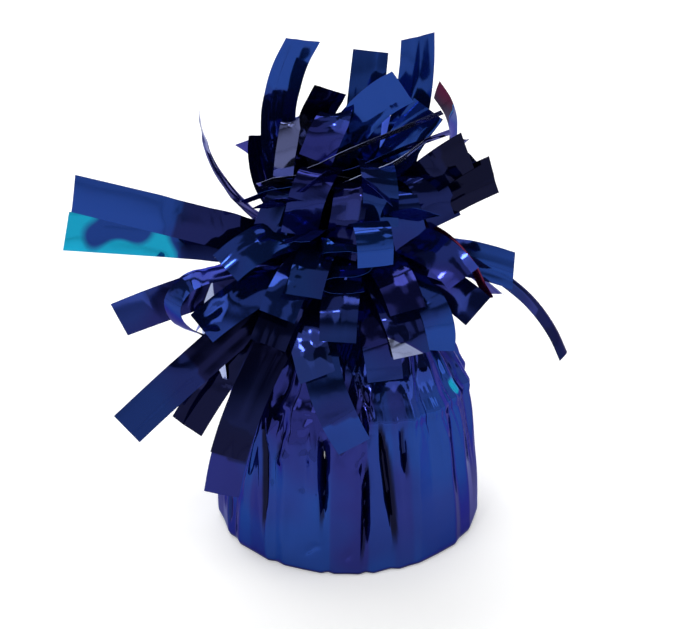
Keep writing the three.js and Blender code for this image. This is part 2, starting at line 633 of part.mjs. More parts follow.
// Strips push each other aside. Each is laid with the change that costs least, counting both the gap it
// still lacks and how far it is turned, lifted or bent from its own place. Those too close are then laid
// again among all the others, the last of the table first.
const TURNS = [0, 3, -3, 6, -6, 9, -9, 12, -12, 16, -16, 20, -20, 25, -25, 30, -30];
const LIFTS = [0, 3, -3, 6, -6, 9, -9, 12, -12, 16, -16, 20, 24];
const BENDS = [1, 0.7, 1.3, 0.4];
const SETTLING_PASSES = 6;
const CLOSE_ENOUGH = 0.04 * STRIP_CLEARANCE;
const STIFFNESS = 0.05 * STRIP_CLEARANCE; // gap given up for each degree moved, for the first of the table
const STIFFNESS_LAST = 0.003 * STRIP_CLEARANCE;
const FLATTENING = 20; // taking all the bend out of a strip counts as much as turning it by these degrees
const tries = TURNS.flatMap((turn) => LIFTS.flatMap((lift) => BENDS.map((bend) => ({ turn, lift, bend }))));
const effort = ({ turn, lift, bend }) => Math.hypot(turn, lift, FLATTENING * (1 - bend));
tries.sort((a, b) => effort(a) - effort(b));

// A gap that is nearly closed counts for more than several that are a little tight. The second function goes
// back from that weight to the shortfall.
function severity(short) {
  return short * (1 + (2 * short) / STRIP_CLEARANCE);
}
function shortfallOf(weight) {
  return (STRIP_CLEARANCE / 4) * (Math.sqrt(1 + (8 * weight) / STRIP_CLEARANCE) - 1);
}

function settle(strip, stiffness, laid) {
  let best = { score: Infinity };
  for (const change of tries) {
    const cost = stiffness * effort(change);
    if (cost >= best.score) break;
    const stations = layStrip(strip, change);
    const rungs = rungsOf(stations);
    const bundles = bundlesOf(rungs);
    const most = shortfallOf(best.score - cost);
    let short = bodyShortfall(rungs);
    for (let k = 0; k < laid.length && short < most; k++) {
      short = Math.max(short, shortfall(bundles, laid[k], most));
      // The strip that ruled this try out is asked first the next time.
      if (short >= most) laid.unshift(...laid.splice(k, 1));
    }
    if (short < most) best = { score: severity(short) + cost, short, change, stations, rungs, bundles };
  }
  return best;
}

function layFringe(strips) {
  assignRoots(strips);
  const tail = bundlesOf(tailRungs());
  const laid = [];
  const stiffness = (i) => mix(STIFFNESS, STIFFNESS_LAST, i / (strips.length - 1));
  const allBut = (i) => [tail, ...laid.filter((other, k) => k !== i).map((other) => other.bundles)];
  strips.forEach((strip, i) => laid.push(settle(strip, stiffness(i), allBut(i))));
  for (let pass = 1; pass < SETTLING_PASSES; pass++)
    for (let i = strips.length - 1; i >= 0; i--) {
      const { rungs, bundles } = laid[i];
      const gaps = allBut(i).map((other) => shortfall(bundles, other, Infinity));
      const worst = Math.max(bodyShortfall(rungs), ...gaps);
      if (worst > CLOSE_ENOUGH) laid[i] = settle(strips[i], stiffness(i), allBut(i));
    }
  const moved = laid.filter(({ change }) => effort(change) > 0).length;
  const worst = Math.max(...laid.map(({ short }) => short));
  console.log(`fringe: ${moved} of ${laid.length} strips pushed aside, worst gap ${worst.toFixed(2)} mm short`);
  return laid.map(({ stations }, i) =>
    piece(`fringe_strip_${String(i + 1).padStart(2, "0")}`, stripGeometry(stations), FILM_BLUE),
  );
}

const balloonWeight = new THREE.Group();
balloonWeight.name = "balloon_weight";
balloonWeight.add(piece("weight_cup", cupGeometry(), CUP_PLASTIC));
balloonWeight.add(piece("plaster_fill", plasterGeometry(), PLASTER));
balloonWeight.add(piece("film_wrapper", wrapperGeometry(), FILM_BLUE));
balloonWeight.add(piece("wire_tie", tieGeometry(), WIRE_COAT));
balloonWeight.add(...layFringe(STRIPS));

export default balloonWeight;
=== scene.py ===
import math
import random
from bisect import bisect_right

import bmesh
import bpy
from bpy.props import FloatProperty, FloatVectorProperty, PointerProperty
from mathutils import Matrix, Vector, noise


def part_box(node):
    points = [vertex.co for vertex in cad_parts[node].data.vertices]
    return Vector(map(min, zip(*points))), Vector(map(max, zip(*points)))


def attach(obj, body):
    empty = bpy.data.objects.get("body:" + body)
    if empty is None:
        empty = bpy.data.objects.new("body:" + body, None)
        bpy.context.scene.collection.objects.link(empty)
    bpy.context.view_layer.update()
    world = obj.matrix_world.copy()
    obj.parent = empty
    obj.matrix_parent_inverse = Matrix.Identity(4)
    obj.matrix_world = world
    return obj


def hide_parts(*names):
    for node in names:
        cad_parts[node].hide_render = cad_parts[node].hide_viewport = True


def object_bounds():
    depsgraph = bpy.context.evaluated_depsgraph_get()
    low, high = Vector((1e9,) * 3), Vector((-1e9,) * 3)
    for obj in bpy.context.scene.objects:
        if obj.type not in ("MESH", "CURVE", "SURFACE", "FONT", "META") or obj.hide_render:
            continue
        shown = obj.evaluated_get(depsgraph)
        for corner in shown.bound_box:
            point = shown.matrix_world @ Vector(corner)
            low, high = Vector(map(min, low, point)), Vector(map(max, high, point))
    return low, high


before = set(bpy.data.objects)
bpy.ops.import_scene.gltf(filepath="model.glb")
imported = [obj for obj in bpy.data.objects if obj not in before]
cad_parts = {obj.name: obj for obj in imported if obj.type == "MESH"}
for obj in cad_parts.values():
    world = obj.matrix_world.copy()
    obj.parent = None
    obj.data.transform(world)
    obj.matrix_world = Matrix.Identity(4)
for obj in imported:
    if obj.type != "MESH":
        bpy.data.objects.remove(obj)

bl_info = {
    "name": "Foil balloon weight",
    "version": (1, 0, 0),
    "blender": (4, 5, 0),
    "location": "3D View > Sidebar > Balloon weight",
    "description": "Dresses the packed balloon weight in pleated film, with a slit fringe and a wire tie",
    "category": "Add Mesh",
}

MM = 0.001

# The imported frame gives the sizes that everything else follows.
CAD_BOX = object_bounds()
BODY_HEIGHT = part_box("film_wrapper")[1].z  # up to the mouth of the gathered neck
STRIPS = sorted(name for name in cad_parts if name.startswith("fringe_strip_"))


def linear(hex_colour):
    """An sRGB hex colour as the linear colour that the shaders take."""
    parts = [int(hex_colour[i : i + 2], 16) / 255 for i in (0, 2, 4)]
    return [c / 12.92 if c <= 0.04045 else ((c + 0.055) / 1.055) ** 2.4 for c in parts]


def opaque(colour, share=1):
    """A setting's colour as the shaders take it, darkened to a share of itself."""
    return [*(share * part for part in colour), 1]


def per_metre(millimetres):
    """A texture scale that repeats a pattern about every so many millimetres."""
    return 1 / (millimetres * MM)


def mix(a, b, share):
    """The value that lies a share of the way from a to b."""
    return a + (b - a) * share


def smooth(x):
    """An even rise from 0 to 1 while x goes from 0 to 1, soft at both ends."""
    x = min(1, max(0, x))
    return x * x * (3 - 2 * x)


def add(tree, kind, inputs=None, **settings):
    """Adds a node, sets it up, and feeds its inputs with values or with other nodes' outputs."""
    made = tree.nodes.new(kind)
    for name, value in settings.items():
        setattr(made, name, value)
    for socket, value in (inputs or {}).items():
        if isinstance(value, bpy.types.NodeSocket):
            tree.links.new(value, made.inputs[socket])
        else:
            made.inputs[socket].default_value = value
    return made


def new_material(name):
    """An empty node material and its tree, with the object's own coordinates in metres."""
    material = bpy.data.materials.new(name)
    material.use_nodes = True
    tree = material.node_tree
    tree.nodes.clear()
    place = add(tree, "ShaderNodeTexCoord").outputs["Object"]
    return material, tree, place


def close_material(tree, shader):
    """Leads a finished shader to the surface."""
    add(tree, "ShaderNodeOutputMaterial", {"Surface": shader})


# Materials


# The film's points carry a tone, which is 0 where the film is blue and 1 where it is indigo. On the
# seen side it is a painted reflection tone, set panel by panel and strip by strip to how the film's
# reflections look there, and on the unseen tongues it varies at random. Beyond that it marks the few
# places of painted highlight and painted reflection. Each has the number where it starts to show, and
# where it is full.
CYAN_PAINTED_HIGHLIGHT = (-0.78, -0.9)  # painted cyan highlight
SILVER_PAINTED_HIGHLIGHT = (1.3, 1.7)  # painted silver highlight
PLUM_PAINTED_REFLECTION = (-1.3, -1.7)  # painted dark red reflection on a few narrow tongues


def film_material(look):
    """Metallised polypropylene film, vacuum coated with aluminium under a clear blue lacquer: a mirror tinted
    royal blue, with faint waves from the rollers. It turns indigo in random patches, and by a painted
    reflection tone that the points carry. Painted cyan and silver highlights and a painted dark red
    reflection show in a few places, and painted shade darkens slits, the base's edge and some strips.
    The lacquer scatters a tenth of the light, so even a fold that reflects nothing stays navy."""
    material, tree, place = new_material("metallised_film_blue_lacquer")
    tone_and_painted_reflection = add(tree, "ShaderNodeAttribute", attribute_name="tone_and_painted_reflection").outputs["Fac"]
    # The lacquer pools unevenly, in patches some 22 mm across.
    patches = add(tree, "ShaderNodeTexNoise", {"Vector": place, "Scale": per_metre(22), "Detail": 1.0})
    limits = {"From Min": 0.42, "From Max": 0.6, "To Min": -0.25, "To Max": 0.35}
    spread = add(tree, "ShaderNodeMapRange", {"Value": patches.outputs["Fac"], **limits}).outputs["Result"]
    tone = add(tree, "ShaderNodeMath", {0: tone_and_painted_reflection, 1: spread}, operation="ADD").outputs[0]
    # Indigo by the points' tone, which is random in places and a painted reflection tone elsewhere; then the
    # painted cyan highlight, the painted silver highlight and the painted dark red reflection.
    tints = [(add(tree, "ShaderNodeClamp", {"Value": tone}).outputs[0], look.film_indigo)]
    for value, (start, full), most, tint in (
        (tone, CYAN_PAINTED_HIGHLIGHT, 0.9, look.painted_cyan_highlight),
        (tone_and_painted_reflection, SILVER_PAINTED_HIGHLIGHT, 1, look.painted_silver_highlight),
        (tone_and_painted_reflection, PLUM_PAINTED_REFLECTION, 1, look.painted_plum_reflection),
    ):
        limits = {"From Min": start, "From Max": full, "To Max": most}
        share = add(tree, "ShaderNodeMapRange", {"Value": value, **limits}).outputs["Result"]
        tints.append((share, tint))
    # Painted shade: in deep slits, along the base's edge and on the strips that look dark, the colour is
    # darkened towards the painted shade colour.
    painted_shade_share = add(tree, "ShaderNodeAttribute", attribute_name="painted_shade").outputs["Fac"]
    tints.append((painted_shade_share, look.film_painted_shade))
    colour = opaque(look.film_blue)
    for share, tint in tints:
        colours = {"Factor": share, "A": colour, "B": opaque(tint)}
        colour = add(tree, "ShaderNodeMix", colours, data_type="RGBA").outputs["Result"]
    # Handling leaves the lacquer a little duller in places.
    haze = add(tree, "ShaderNodeTexNoise", {"Vector": place, "Scale": per_metre(9), "Detail": 3.0})
    dullness = {"To Min": look.film_roughness * 0.7, "To Max": look.film_roughness * 1.5}
    limits = {"From Min": 0.35, "From Max": 0.7, **dullness}
    roughness = add(tree, "ShaderNodeMapRange", {"Value": haze.outputs["Fac"], **limits})
    # Roller waves are near 1 mm on the film and are drawn 4 mm apart, the finest that shows.
    waves = add(tree, "ShaderNodeTexNoise", {"Vector": place, "Scale": per_metre(4), "Detail": 1.0})
    relief = {"Height": waves.outputs["Fac"], "Strength": 0.25, "Distance": 0.08 * MM}
    surface = {
        "Base Color": colour,
        "Metallic": 0.9,
        "Roughness": roughness.outputs["Result"],
        "Specular Tint": opaque(look.film_edge),
        "Coat Weight": 0.1,
        "Coat Roughness": 0.03,
        "Coat IOR": 1.5,
        "Normal": add(tree, "ShaderNodeBump", relief).outputs["Normal"],
    }
    close_material(tree, add(tree, "ShaderNodeBsdfPrincipled", surface).outputs["BSDF"])
    return material


def plain_finish(tree, colour, darkest, cloud, relief, **surface):
    """Closes a finish that isn't metal. A pattern darkens its colour, down to a share of it. Its relief is a
    pattern, a strength and a depth. The rest goes to the surface as it is."""
    shades = {"Factor": cloud, "A": opaque(colour), "B": opaque(colour, darkest)}
    tone = add(tree, "ShaderNodeMix", shades, data_type="RGBA")
    bump = add(tree, "ShaderNodeBump", dict(zip(("Height", "Strength", "Distance"), relief)))
    surface.update({"Base Color": tone.outputs["Result"], "Normal": bump.outputs["Normal"]})
    close_material(tree, add(tree, "ShaderNodeBsdfPrincipled", surface).outputs["BSDF"])


def coated_wire_material(look):
    """Steel wire in a dip-moulded PVC coat: an even, glossy plastic with slight runs."""
    material, tree, place = new_material("pvc_coated_wire")
    runs = add(tree, "ShaderNodeTexNoise", {"Vector": place, "Scale": per_metre(2), "Detail": 2.0})
    relief = runs.outputs["Fac"], 0.2, 0.05 * MM
    plain_finish(tree, look.wire, 0.7, runs.outputs["Fac"], relief, Roughness=0.35, IOR=1.53)
    return material


def cup_material(look):
    """Injection-moulded polystyrene: matt white with the faint flow marks of a thin wall."""
    material, tree, place = new_material("moulded_polystyrene")
    marks = {"Scale": per_metre(14), "Detail": 3.0, "Distortion": 1.2}
    flow = add(tree, "ShaderNodeTexNoise", {"Vector": place, **marks})
    relief = flow.outputs["Fac"], 0.15, 0.05 * MM
    plain_finish(tree, look.cup, 0.88, flow.outputs["Fac"], relief, Roughness=0.45, IOR=1.59)
    return material


def plaster_material(look):
    """Cast gypsum plaster: chalky off-white with pinholes left by air bubbles."""
    material, tree, place = new_material("cast_gypsum_plaster")
    pores = add(tree, "ShaderNodeTexVoronoi", {"Vector": place, "Scale": per_metre(2.5)})
    rims = {"From Min": 0.06, "From Max": 0.2}
    holes = add(tree, "ShaderNodeMapRange", {"Value": pores.outputs["Distance"], **rims})
    cloud = add(tree, "ShaderNodeTexNoise", {"Vector": place, "Scale": per_metre(11), "Detail": 5.0})
    relief = holes.outputs["Result"], 0.6, 0.3 * MM
    plain_finish(tree, look.plaster, 0.82, cloud.outputs["Fac"], relief, Roughness=0.95, IOR=1.52)
    return material


def shared_film(look):
    """The one film material, which the wrapper and the whole fringe share."""
    return bpy.data.materials.get("metallised_film_blue_lacquer") or film_material(look)


# Meshes


WELD = 0.01 * MM  # packed points nearer than this are one point
CUT_ANGLE = 62  # an edge sharper than this many degrees is a cut, and a softer one is a bend


def on_curve(points, knots, at):
    """A smooth curve through points that stand at the given knots, read at one place."""
    k = max(1, min(bisect_right(knots, at), len(knots) - 1))

    def slope(i):
        low, high = max(0, i - 1), min(len(points) - 1, i + 1)
        return (points[high] - points[low]) / (knots[high] - knots[low])

    span = knots[k] - knots[k - 1]
    u = (at - knots[k - 1]) / span
    leaving = slope(k - 1) * span * (u**3 - 2 * u**2 + u)
    arriving = slope(k) * span * (u**3 - u**2)
    share = 3 * u**2 - 2 * u**3
    return points[k - 1] * (2 * u**3 - 3 * u**2 + 1) + points[k] * share + leaving + arriving


def closed_sheet(grid, thickness, round_about, marks):
    """A thin closed body on a grid of points: two faces a film's thickness apart, and its cut edges. A grid
    that goes round about joins its last column to its first. marks gives each point its tone, as the
    film's material reads it, and its painted shade, how far the material darkens it."""
    rows, columns = len(grid), len(grid[0])
    last = columns if round_about else columns - 1
    bm = bmesh.new()
    tone_and_painted_reflection = bm.verts.layers.float.new("tone_and_painted_reflection")
    painted_shade = bm.verts.layers.float.new("painted_shade")

    def next_column(j):
        return (j + 1) % columns

    normals = []
    for i in range(rows):
        before, after = grid[max(0, i - 1)], grid[min(rows - 1, i + 1)]
        line = []
        for j in range(columns):
            left = grid[i][j - 1] if round_about or j else grid[i][0]
            right = grid[i][next_column(j)] if round_about or j + 1 < columns else grid[i][j]
            line.append((right - left).cross(after[j] - before[j]).normalized())
        normals.append(line)
    faces = [
        [[bm.verts.new(p + n * half) for p, n in zip(*line)] for line in zip(grid, normals)]
        for half in (thickness / 2, -thickness / 2)
    ]
    front, back = faces
    for face in faces:
        for line, marked in zip(face, marks):
            for vert, (tone, painted_shade_level) in zip(line, marked):
                vert[tone_and_painted_reflection], vert[painted_shade] = tone, painted_shade_level
    for i in range(rows - 1):
        for j in range(last):
            k = next_column(j)
            bm.faces.new((front[i][j], front[i][k], front[i + 1][k], front[i + 1][j]))
            bm.faces.new((back[i][j], back[i + 1][j], back[i + 1][k], back[i][k]))
    for j in range(last):
        k = next_column(j)
        bm.faces.new((front[0][j], back[0][j], back[0][k], front[0][k]))
        bm.faces.new((front[-1][j], front[-1][k], back[-1][k], back[-1][j]))
    if not round_about:
        for i in range(rows - 1):
            bm.faces.new((front[i][0], front[i + 1][0], back[i + 1][0], back[i][0]))
            bm.faces.new((front[i][-1], back[i][-1], back[i + 1][-1], front[i + 1][-1]))
    return bm


def finish_piece(name, bm, material, body, slot, *replaced):
    """Turns a bmesh into a piece: shaded smooth but for its cut edges, placed on its body and named."""
    bm.normal_update()
    for face in bm.faces:
        face.smooth = True
    for edge in bm.edges:
        edge.smooth = edge.calc_face_angle(0) < math.radians(CUT_ANGLE)
    mesh = bpy.data.meshes.new(name)
    bm.to_mesh(mesh)
    bm.free()
    mesh.materials.append(material)
    piece = bpy.data.objects.new(name, mesh)
    bpy.context.scene.collection.objects.link(piece)
    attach(piece, body)
    if replaced:
        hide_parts(*replaced)
    return piece


# Wrapper


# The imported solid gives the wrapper's creases, and the finer folds pressed into the film between them come on
# top. Each is a line of (heading in degrees from +X towards +Y, height in millimetres), then its half width
# and its rise in millimetres, and how far its crest leans to one side. A rise below nothing is a slit.
FOLDS = [
    # The dark slit right of the middle, from the shoulder to the base, and the fold that leads into it
    ([(274, 54), (279, 47), (284, 41)], 1.5, -1.0, 0.2),
    ([(284.5, 46), (287.3, 31), (289.5, 18), (290.6, 9), (289.6, 2)], 2.1, -2.0, 0.35),
    # The slit left of the middle
    ([(255, 40), (258.5, 31), (258.8, 22), (258.8, 10)], 1.3, -1.3, -0.3),
    # The slanted pocket between them
    ([(279, 35), (277.5, 18), (275.0, 0)], 1.4, -1.3, 0.5),
    # The bright double ridge at the left, and the dark fold beside it
    ([(217, 45), (219.5, 39), (215.5, 22), (212, 5)], 1.5, 0.9, 0),
    ([(223, 43), (222.5, 34), (219, 20), (218, 9)], 1.0, 0.6, 0),
    ([(224, 41), (228, 29), (231, 17), (231.5, 5)], 1.7, -1.5, -0.3),
    ([(236, 38), (233, 26)], 1.3, -1.0, 0),
    # Swags that hang from the shoulder between the flat panels
    ([(232, 27), (238, 30), (244, 31)], 1.6, 0.45, 0.4),
    ([(245, 31), (251, 32), (257, 30)], 1.6, 0.45, -0.2),
    ([(263, 38), (267, 32), (270, 29)], 1.6, 0.5, 0.3),
    ([(271, 29), (275, 31), (279, 35)], 1.6, 0.5, -0.3),
    ([(242, 44), (246, 38), (254, 42)], 1.5, 0.5, 0),
    # The lens-shaped ridge right of the slit
    ([(301, 51), (302.5, 44), (302, 38), (298, 27)], 1.3, 0.7, 0),
    ([(294, 44), (293, 38), (295, 32), (298, 27)], 1.2, 0.6, 0),
    ([(296.5, 41), (297, 34), (298.5, 23)], 1.4, -1.2, 0),
    # The fan of fine creases at the right
    ([(311, 52), (312, 40), (315, 26)], 0.8, -0.35, 0),
    ([(315, 50), (316, 39), (320, 23)], 0.8, 0.35, 0),
    ([(319, 50), (321, 40), (326, 26)], 0.8, -0.35, 0),
    ([(326, 50), (330, 38), (337, 22)], 0.9, 0.4, 0),
    ([(332, 50), (338, 38), (345, 22)], 0.9, -0.4, 0),
    ([(337, 46), (344, 34), (350, 14)], 1.0, 0.5, 0),
    # Puckers where the film turns under the base
    ([(250, 4.5), (256, 8), (261, 8.5)], 1.2, -0.6, 0.4),
    ([(268, 4), (273, 8)], 1.2, -0.5, 0),
    ([(206, 3), (207, 16)], 1.2, -0.8, 0),
    ([(200, 5), (202, 20)], 1.1, 0.6, 0),
    ([(243, 4), (244, 20)], 2.4, -0.35, 0),
]
START_HEADING = 182  # headings are counted from here round, and no crease crosses it
UNSEEN_SIDE = (352, 540)  # headings where the folds are as on the seen side, but their places are guessed
SMOOTH_SIDE = 314  # heading of the broad smooth panel
SMOOTH_REACH = 30  # degrees to either side of it in which the shoulder has no short folds
FOLD_SEED = 17  # the guessed folds are drawn from this seed
SHOULDER_FOLDS = 56  # short folds laid round the shoulder, those that fall on the smooth side left out
SHOULDER_TOP = 52 * MM  # the film is gathered above this, and its crumple fades out
SHOULDER_HEIGHT = 36.5 * MM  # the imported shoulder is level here, and the film's rises and falls
SHOULDER_SHIFT = 0.25  # share of that rise and fall by which the form of the shoulder is moved
SHOULDER_RIPPLE = 3 * MM  # how far it strays from crease to crease besides
BODY_WAVE, BODY_WAVE_HEIGHT = 26, 0.3 * MM  # long waves of the panels: how many mm apart, and how high
CRUMPLE, CRUMPLE_HEIGHT = 17, 0.4 * MM  # the same for the folds of the crumpled shoulder
SOFT_BEND = 6 * MM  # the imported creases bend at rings, and the film bends over this far to either side
SOFT_SHARES = (-1, -0.5, 0, 0.5, 1)  # where along that stretch a crease is read
TAUT_REACH = 6  # points to either side over which the pleats of the shoulder are drawn flat
PAINTED_SHADE_FROM = -0.6 * MM  # slits deeper than this get painted shade
PAINTED_SHADE_FULL = -1.5 * MM  # and from here on full painted shade
ROUND = 32 * MM  # radius at which a heading counts as a length along the film
COLUMN = 0.42 * MM  # width of the grid's columns
WRAPPER_ROWS = 110  # rows of the grid above the edge of the base
UNDERSIDE = (0.004, 0.12, 0.35, 0.6, 0.82, 0.94)  # rings under the base, as shares of its radius

# Where the smooth panels end and the crumpled shoulder starts: heading, and height in millimetres
SHOULDER_EDGE = [
    *((182, 34), (226, 34), (236, 22), (258, 18), (268, 27)),
    *((280, 36), (288, 47), (330, 48), (350, 42), (542, 36)),
]


def heading_of(p):
    """Where a point stands round the body, in degrees from START_HEADING to a turn beyond it."""
    return (math.degrees(math.atan2(p.y, p.x)) - START_HEADING) % 360 + START_HEADING


def shoulder_edge(heading):
    """Height at which the crumpled shoulder starts at a heading."""
    for (first, low), (last, high) in zip(SHOULDER_EDGE, SHOULDER_EDGE[1:]):
        if heading <= last:
            return mix(low, high, smooth((heading - first) / (last - first))) * MM
    return SHOULDER_EDGE[-1][1] * MM


def guessed_folds():
    """Folds whose places are guessed: slits and ridges that run down the sides and back, and the short ones
    that cover the whole shoulder."""
    rng = random.Random(FOLD_SEED)
    folds = []
    heading = UNSEEN_SIDE[0]
    while heading < UNSEEN_SIDE[1]:
        lean = rng.uniform(-5, 5)
        top, bottom = rng.uniform(36, 52), rng.choice((3, 8, 16, 24))
        middle = heading + rng.uniform(-1, 1), mix(top, bottom, 0.5)
        line = [(heading - lean, top), middle, (heading + lean, bottom)]
        rise = rng.choice((-1.4, -0.9, -0.5, 0.5, 0.8))
        folds.append((line, rng.uniform(0.9, 1.8), rise, rng.uniform(-0.4, 0.4)))
        heading += rng.uniform(5, 9)
    for k in range(SHOULDER_FOLDS):
        heading = rng.uniform(START_HEADING + 2, UNSEEN_SIDE[1] - 2)
        if abs(heading - SMOOTH_SIDE) < SMOOTH_REACH:
            continue
        height = rng.uniform(shoulder_edge(heading) / MM + 3, 54)
        lean, run = rng.uniform(-1, 1), rng.uniform(4, 9)
        line = [(heading - 9 * lean, height + run), (heading + 9 * lean, height - run)]
        rise = rng.choice((-0.7, -0.45, 0.4, 0.6, 0.8))
        folds.append((line, rng.uniform(1.6, 3.2), rise, rng.uniform(-0.6, 0.6)))
    return folds


def unrolled(turned, z):
    """A place on the film as if it were laid flat, from its degrees past START_HEADING and its height."""
    return Vector((math.radians(turned) * ROUND, z))


def fold_lines():
    """Every fold as straight runs on the unrolled film, with how far along the fold each run starts."""
    lines = []
    for line, reach, rise, lean in FOLDS + guessed_folds():
        places = [unrolled((heading - START_HEADING) % 360, z * MM) for heading, z in line]
        runs, length = [], 0
        for start, end in zip(places, places[1:]):
            runs.append((start, end - start, length))
            length += (end - start).length
        low = Vector((min(p.x for p in places), min(p.y for p in places)))
        high = Vector((max(p.x for p in places), max(p.y for p in places)))
        lines.append((runs, length, low, high, reach * MM, rise * MM, lean))
    return lines


def pressed(place, lines):
    """How far the folds lift the film at a place on the unrolled film, and how much painted shade a deep slit
    puts there.
    """
    lift = painted_shade_level = 0
    for runs, length, low, high, reach, rise, lean in lines:
        if not (low.x - reach < place.x < high.x + reach and low.y - reach < place.y < high.y + reach):
            continue
        nearest = None
        for start, run, before in runs:
            along = max(0, min(1, (place - start).dot(run) / run.length_squared))
            away = place - start - run * along
            if nearest is None or away.length < nearest[0]:
                side = 1 if run.x * away.y - run.y * away.x > 0 else -1
                nearest = (away.length, side, (before + along * run.length) / length)
        distance, side, share = nearest
        fade = smooth(share / 0.35) * smooth((1 - share) / 0.45)
        half = reach * (1 + lean * side) * mix(0.3, 1, fade)
        lift += rise * max(0, 1 - distance / half) * fade
        # Painted shade in the deep slits.
        if rise < PAINTED_SHADE_FROM:
            inner = smooth((1 - distance / half - 0.3) / 0.25)
            painted_shade_level = max(painted_shade_level, inner * smooth(fade * 2) * min(1, rise / PAINTED_SHADE_FULL))
    return lift, painted_shade_level


def rings_of(name, is_first):
    """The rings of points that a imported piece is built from, in their order along it."""
    bm = bmesh.new()
    bm.from_mesh(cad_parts[name].data)
    bmesh.ops.remove_doubles(bm, verts=bm.verts, dist=WELD)
    rings = [is_first(list(bm.verts))]
    seen = set(rings[0])
    while True:
        after = {v for old in rings[-1] for edge in old.link_edges for v in edge.verts} - seen
        if not after:
            break
        rings.append(list(after))
        seen |= after
    if len({len(ring) for ring in rings}) > 1:
        raise RuntimeError(f"{name} isn't made of even rings")
    points = [[v.co.copy() for v in ring] for ring in rings]
    bm.free()
    return points


def wrapper_creases():
    """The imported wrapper's outer creases: each as its points from the base up to the mouth of the neck."""
    rings = rings_of("film_wrapper", lambda verts: [v for v in verts if v.co.z < WELD])
    outer = rings[: len(rings) // 2]
    return [list(crease) for crease in zip(*(sorted(ring, key=heading_of) for ring in outer))]


def crumple(point, heading, strength):
    """How far the film stands off its panels: in long waves low down, and short folds on the shoulder."""
    waves = noise.noise(point * per_metre(BODY_WAVE)) * BODY_WAVE_HEIGHT
    start = shoulder_edge(heading)
    zone = smooth((point.z - start) / (10 * MM)) * (1 - smooth((point.z - SHOULDER_TOP) / (10 * MM)))
    # The film is drawn upwards, so its folds are longer that way.
    drawn = Vector((point.x, point.y, point.z * 0.4))
    broad = noise.noise(drawn * per_metre(CRUMPLE) + Vector((7, 3, 1))) * 4
    return strength * (waves + zone * CRUMPLE_HEIGHT * (abs(broad % 2 - 1) - 0.5))


# Panels of the seen side with an indigo painted reflection tone, by their first and last heading,
# and how far
INDIGO_REFLECTION_PANELS = [(196, 211, 0.7), (222, 232, 0.7), (262, 279, 0.9), (291, 300, 0.5), (338, 352, 0.6)]

# The painted cyan glint at the right: its heading and height, and how far it spreads both ways, in
# degrees and millimetres
CYAN_PAINTED_GLINT = (338, 45)
CYAN_GLINT_SPREAD = (9, 8)


def wrapper_tone_and_painted_reflection(heading, z):
    """How indigo the wrapper is: an indigo painted reflection tone on its panels low down and on the
    whole shoulder, a tone that varies round the unseen side, and the painted cyan glint.
    """
    tone = 0.1
    for first, last, strength in INDIGO_REFLECTION_PANELS:
        across = min(heading - first, last - heading)
        tone = max(tone, strength * smooth(0.5 + across / 2))
    if heading > UNSEEN_SIDE[0]:
        tone = 0.45 + 0.4 * math.sin(heading / 4.1)
    # Painted reflection tone: the whole shoulder, which throws back the dark room, is painted indigo.
    tone = mix(tone, 0.8, smooth((z - shoulder_edge(heading)) / (9 * MM)))
    # Painted cyan glint at the right of the shoulder.
    across = (heading - CYAN_PAINTED_GLINT[0]) / CYAN_GLINT_SPREAD[0]
    spot = 1 - math.hypot(across, (z / MM - CYAN_PAINTED_GLINT[1]) / CYAN_GLINT_SPREAD[1])
    return mix(tone, -0.8, smooth(1.6 * spot))


def drawn_tight(ring, taut):
    """A ring of the shoulder with its pleats drawn flatter, most of all round the smooth panel."""
    turns = len(ring)
    around = range(-TAUT_REACH, TAUT_REACH + 1)
    flat = []
    for j, p in enumerate(ring):
        mean = sum((ring[(j + k) % turns] for k in around), Vector()) / len(around)
        share = mix(0.45, 0.95, smooth(1.7 - abs(heading_of(p) - SMOOTH_SIDE) / SMOOTH_REACH))
        flat.append(p.lerp(mean, share * taut))
    return flat


def crease_corners(creases, knots, z):
    """Where the creases stand at one height. Each bends softly, and the form of the shoulder is moved up or
    down to where the film has it."""
    bend = SOFT_BEND * smooth(z / (9 * MM)) * smooth((BODY_HEIGHT - z) / (20 * MM))
    moved = smooth((z - 16 * MM) / (14 * MM)) * (1 - smooth((z - 44 * MM) / (12 * MM)))
    corners = []
    for k, crease in enumerate(creases):
        rise = SHOULDER_SHIFT * (shoulder_edge(heading_of(crease[0])) - SHOULDER_HEIGHT)
        ripple = SHOULDER_RIPPLE * noise.noise(Vector((0.45 * k, 0, 0)))
        read = z - moved * (rise + ripple)
        near = [on_curve(crease, knots, read + share * bend) for share in SOFT_SHARES]
        corner = sum(near, Vector()) / len(near)
        corners.append(Vector((corner.x, corner.y, mix(corner.z, z, min(1, moved * 2)))))
    return corners


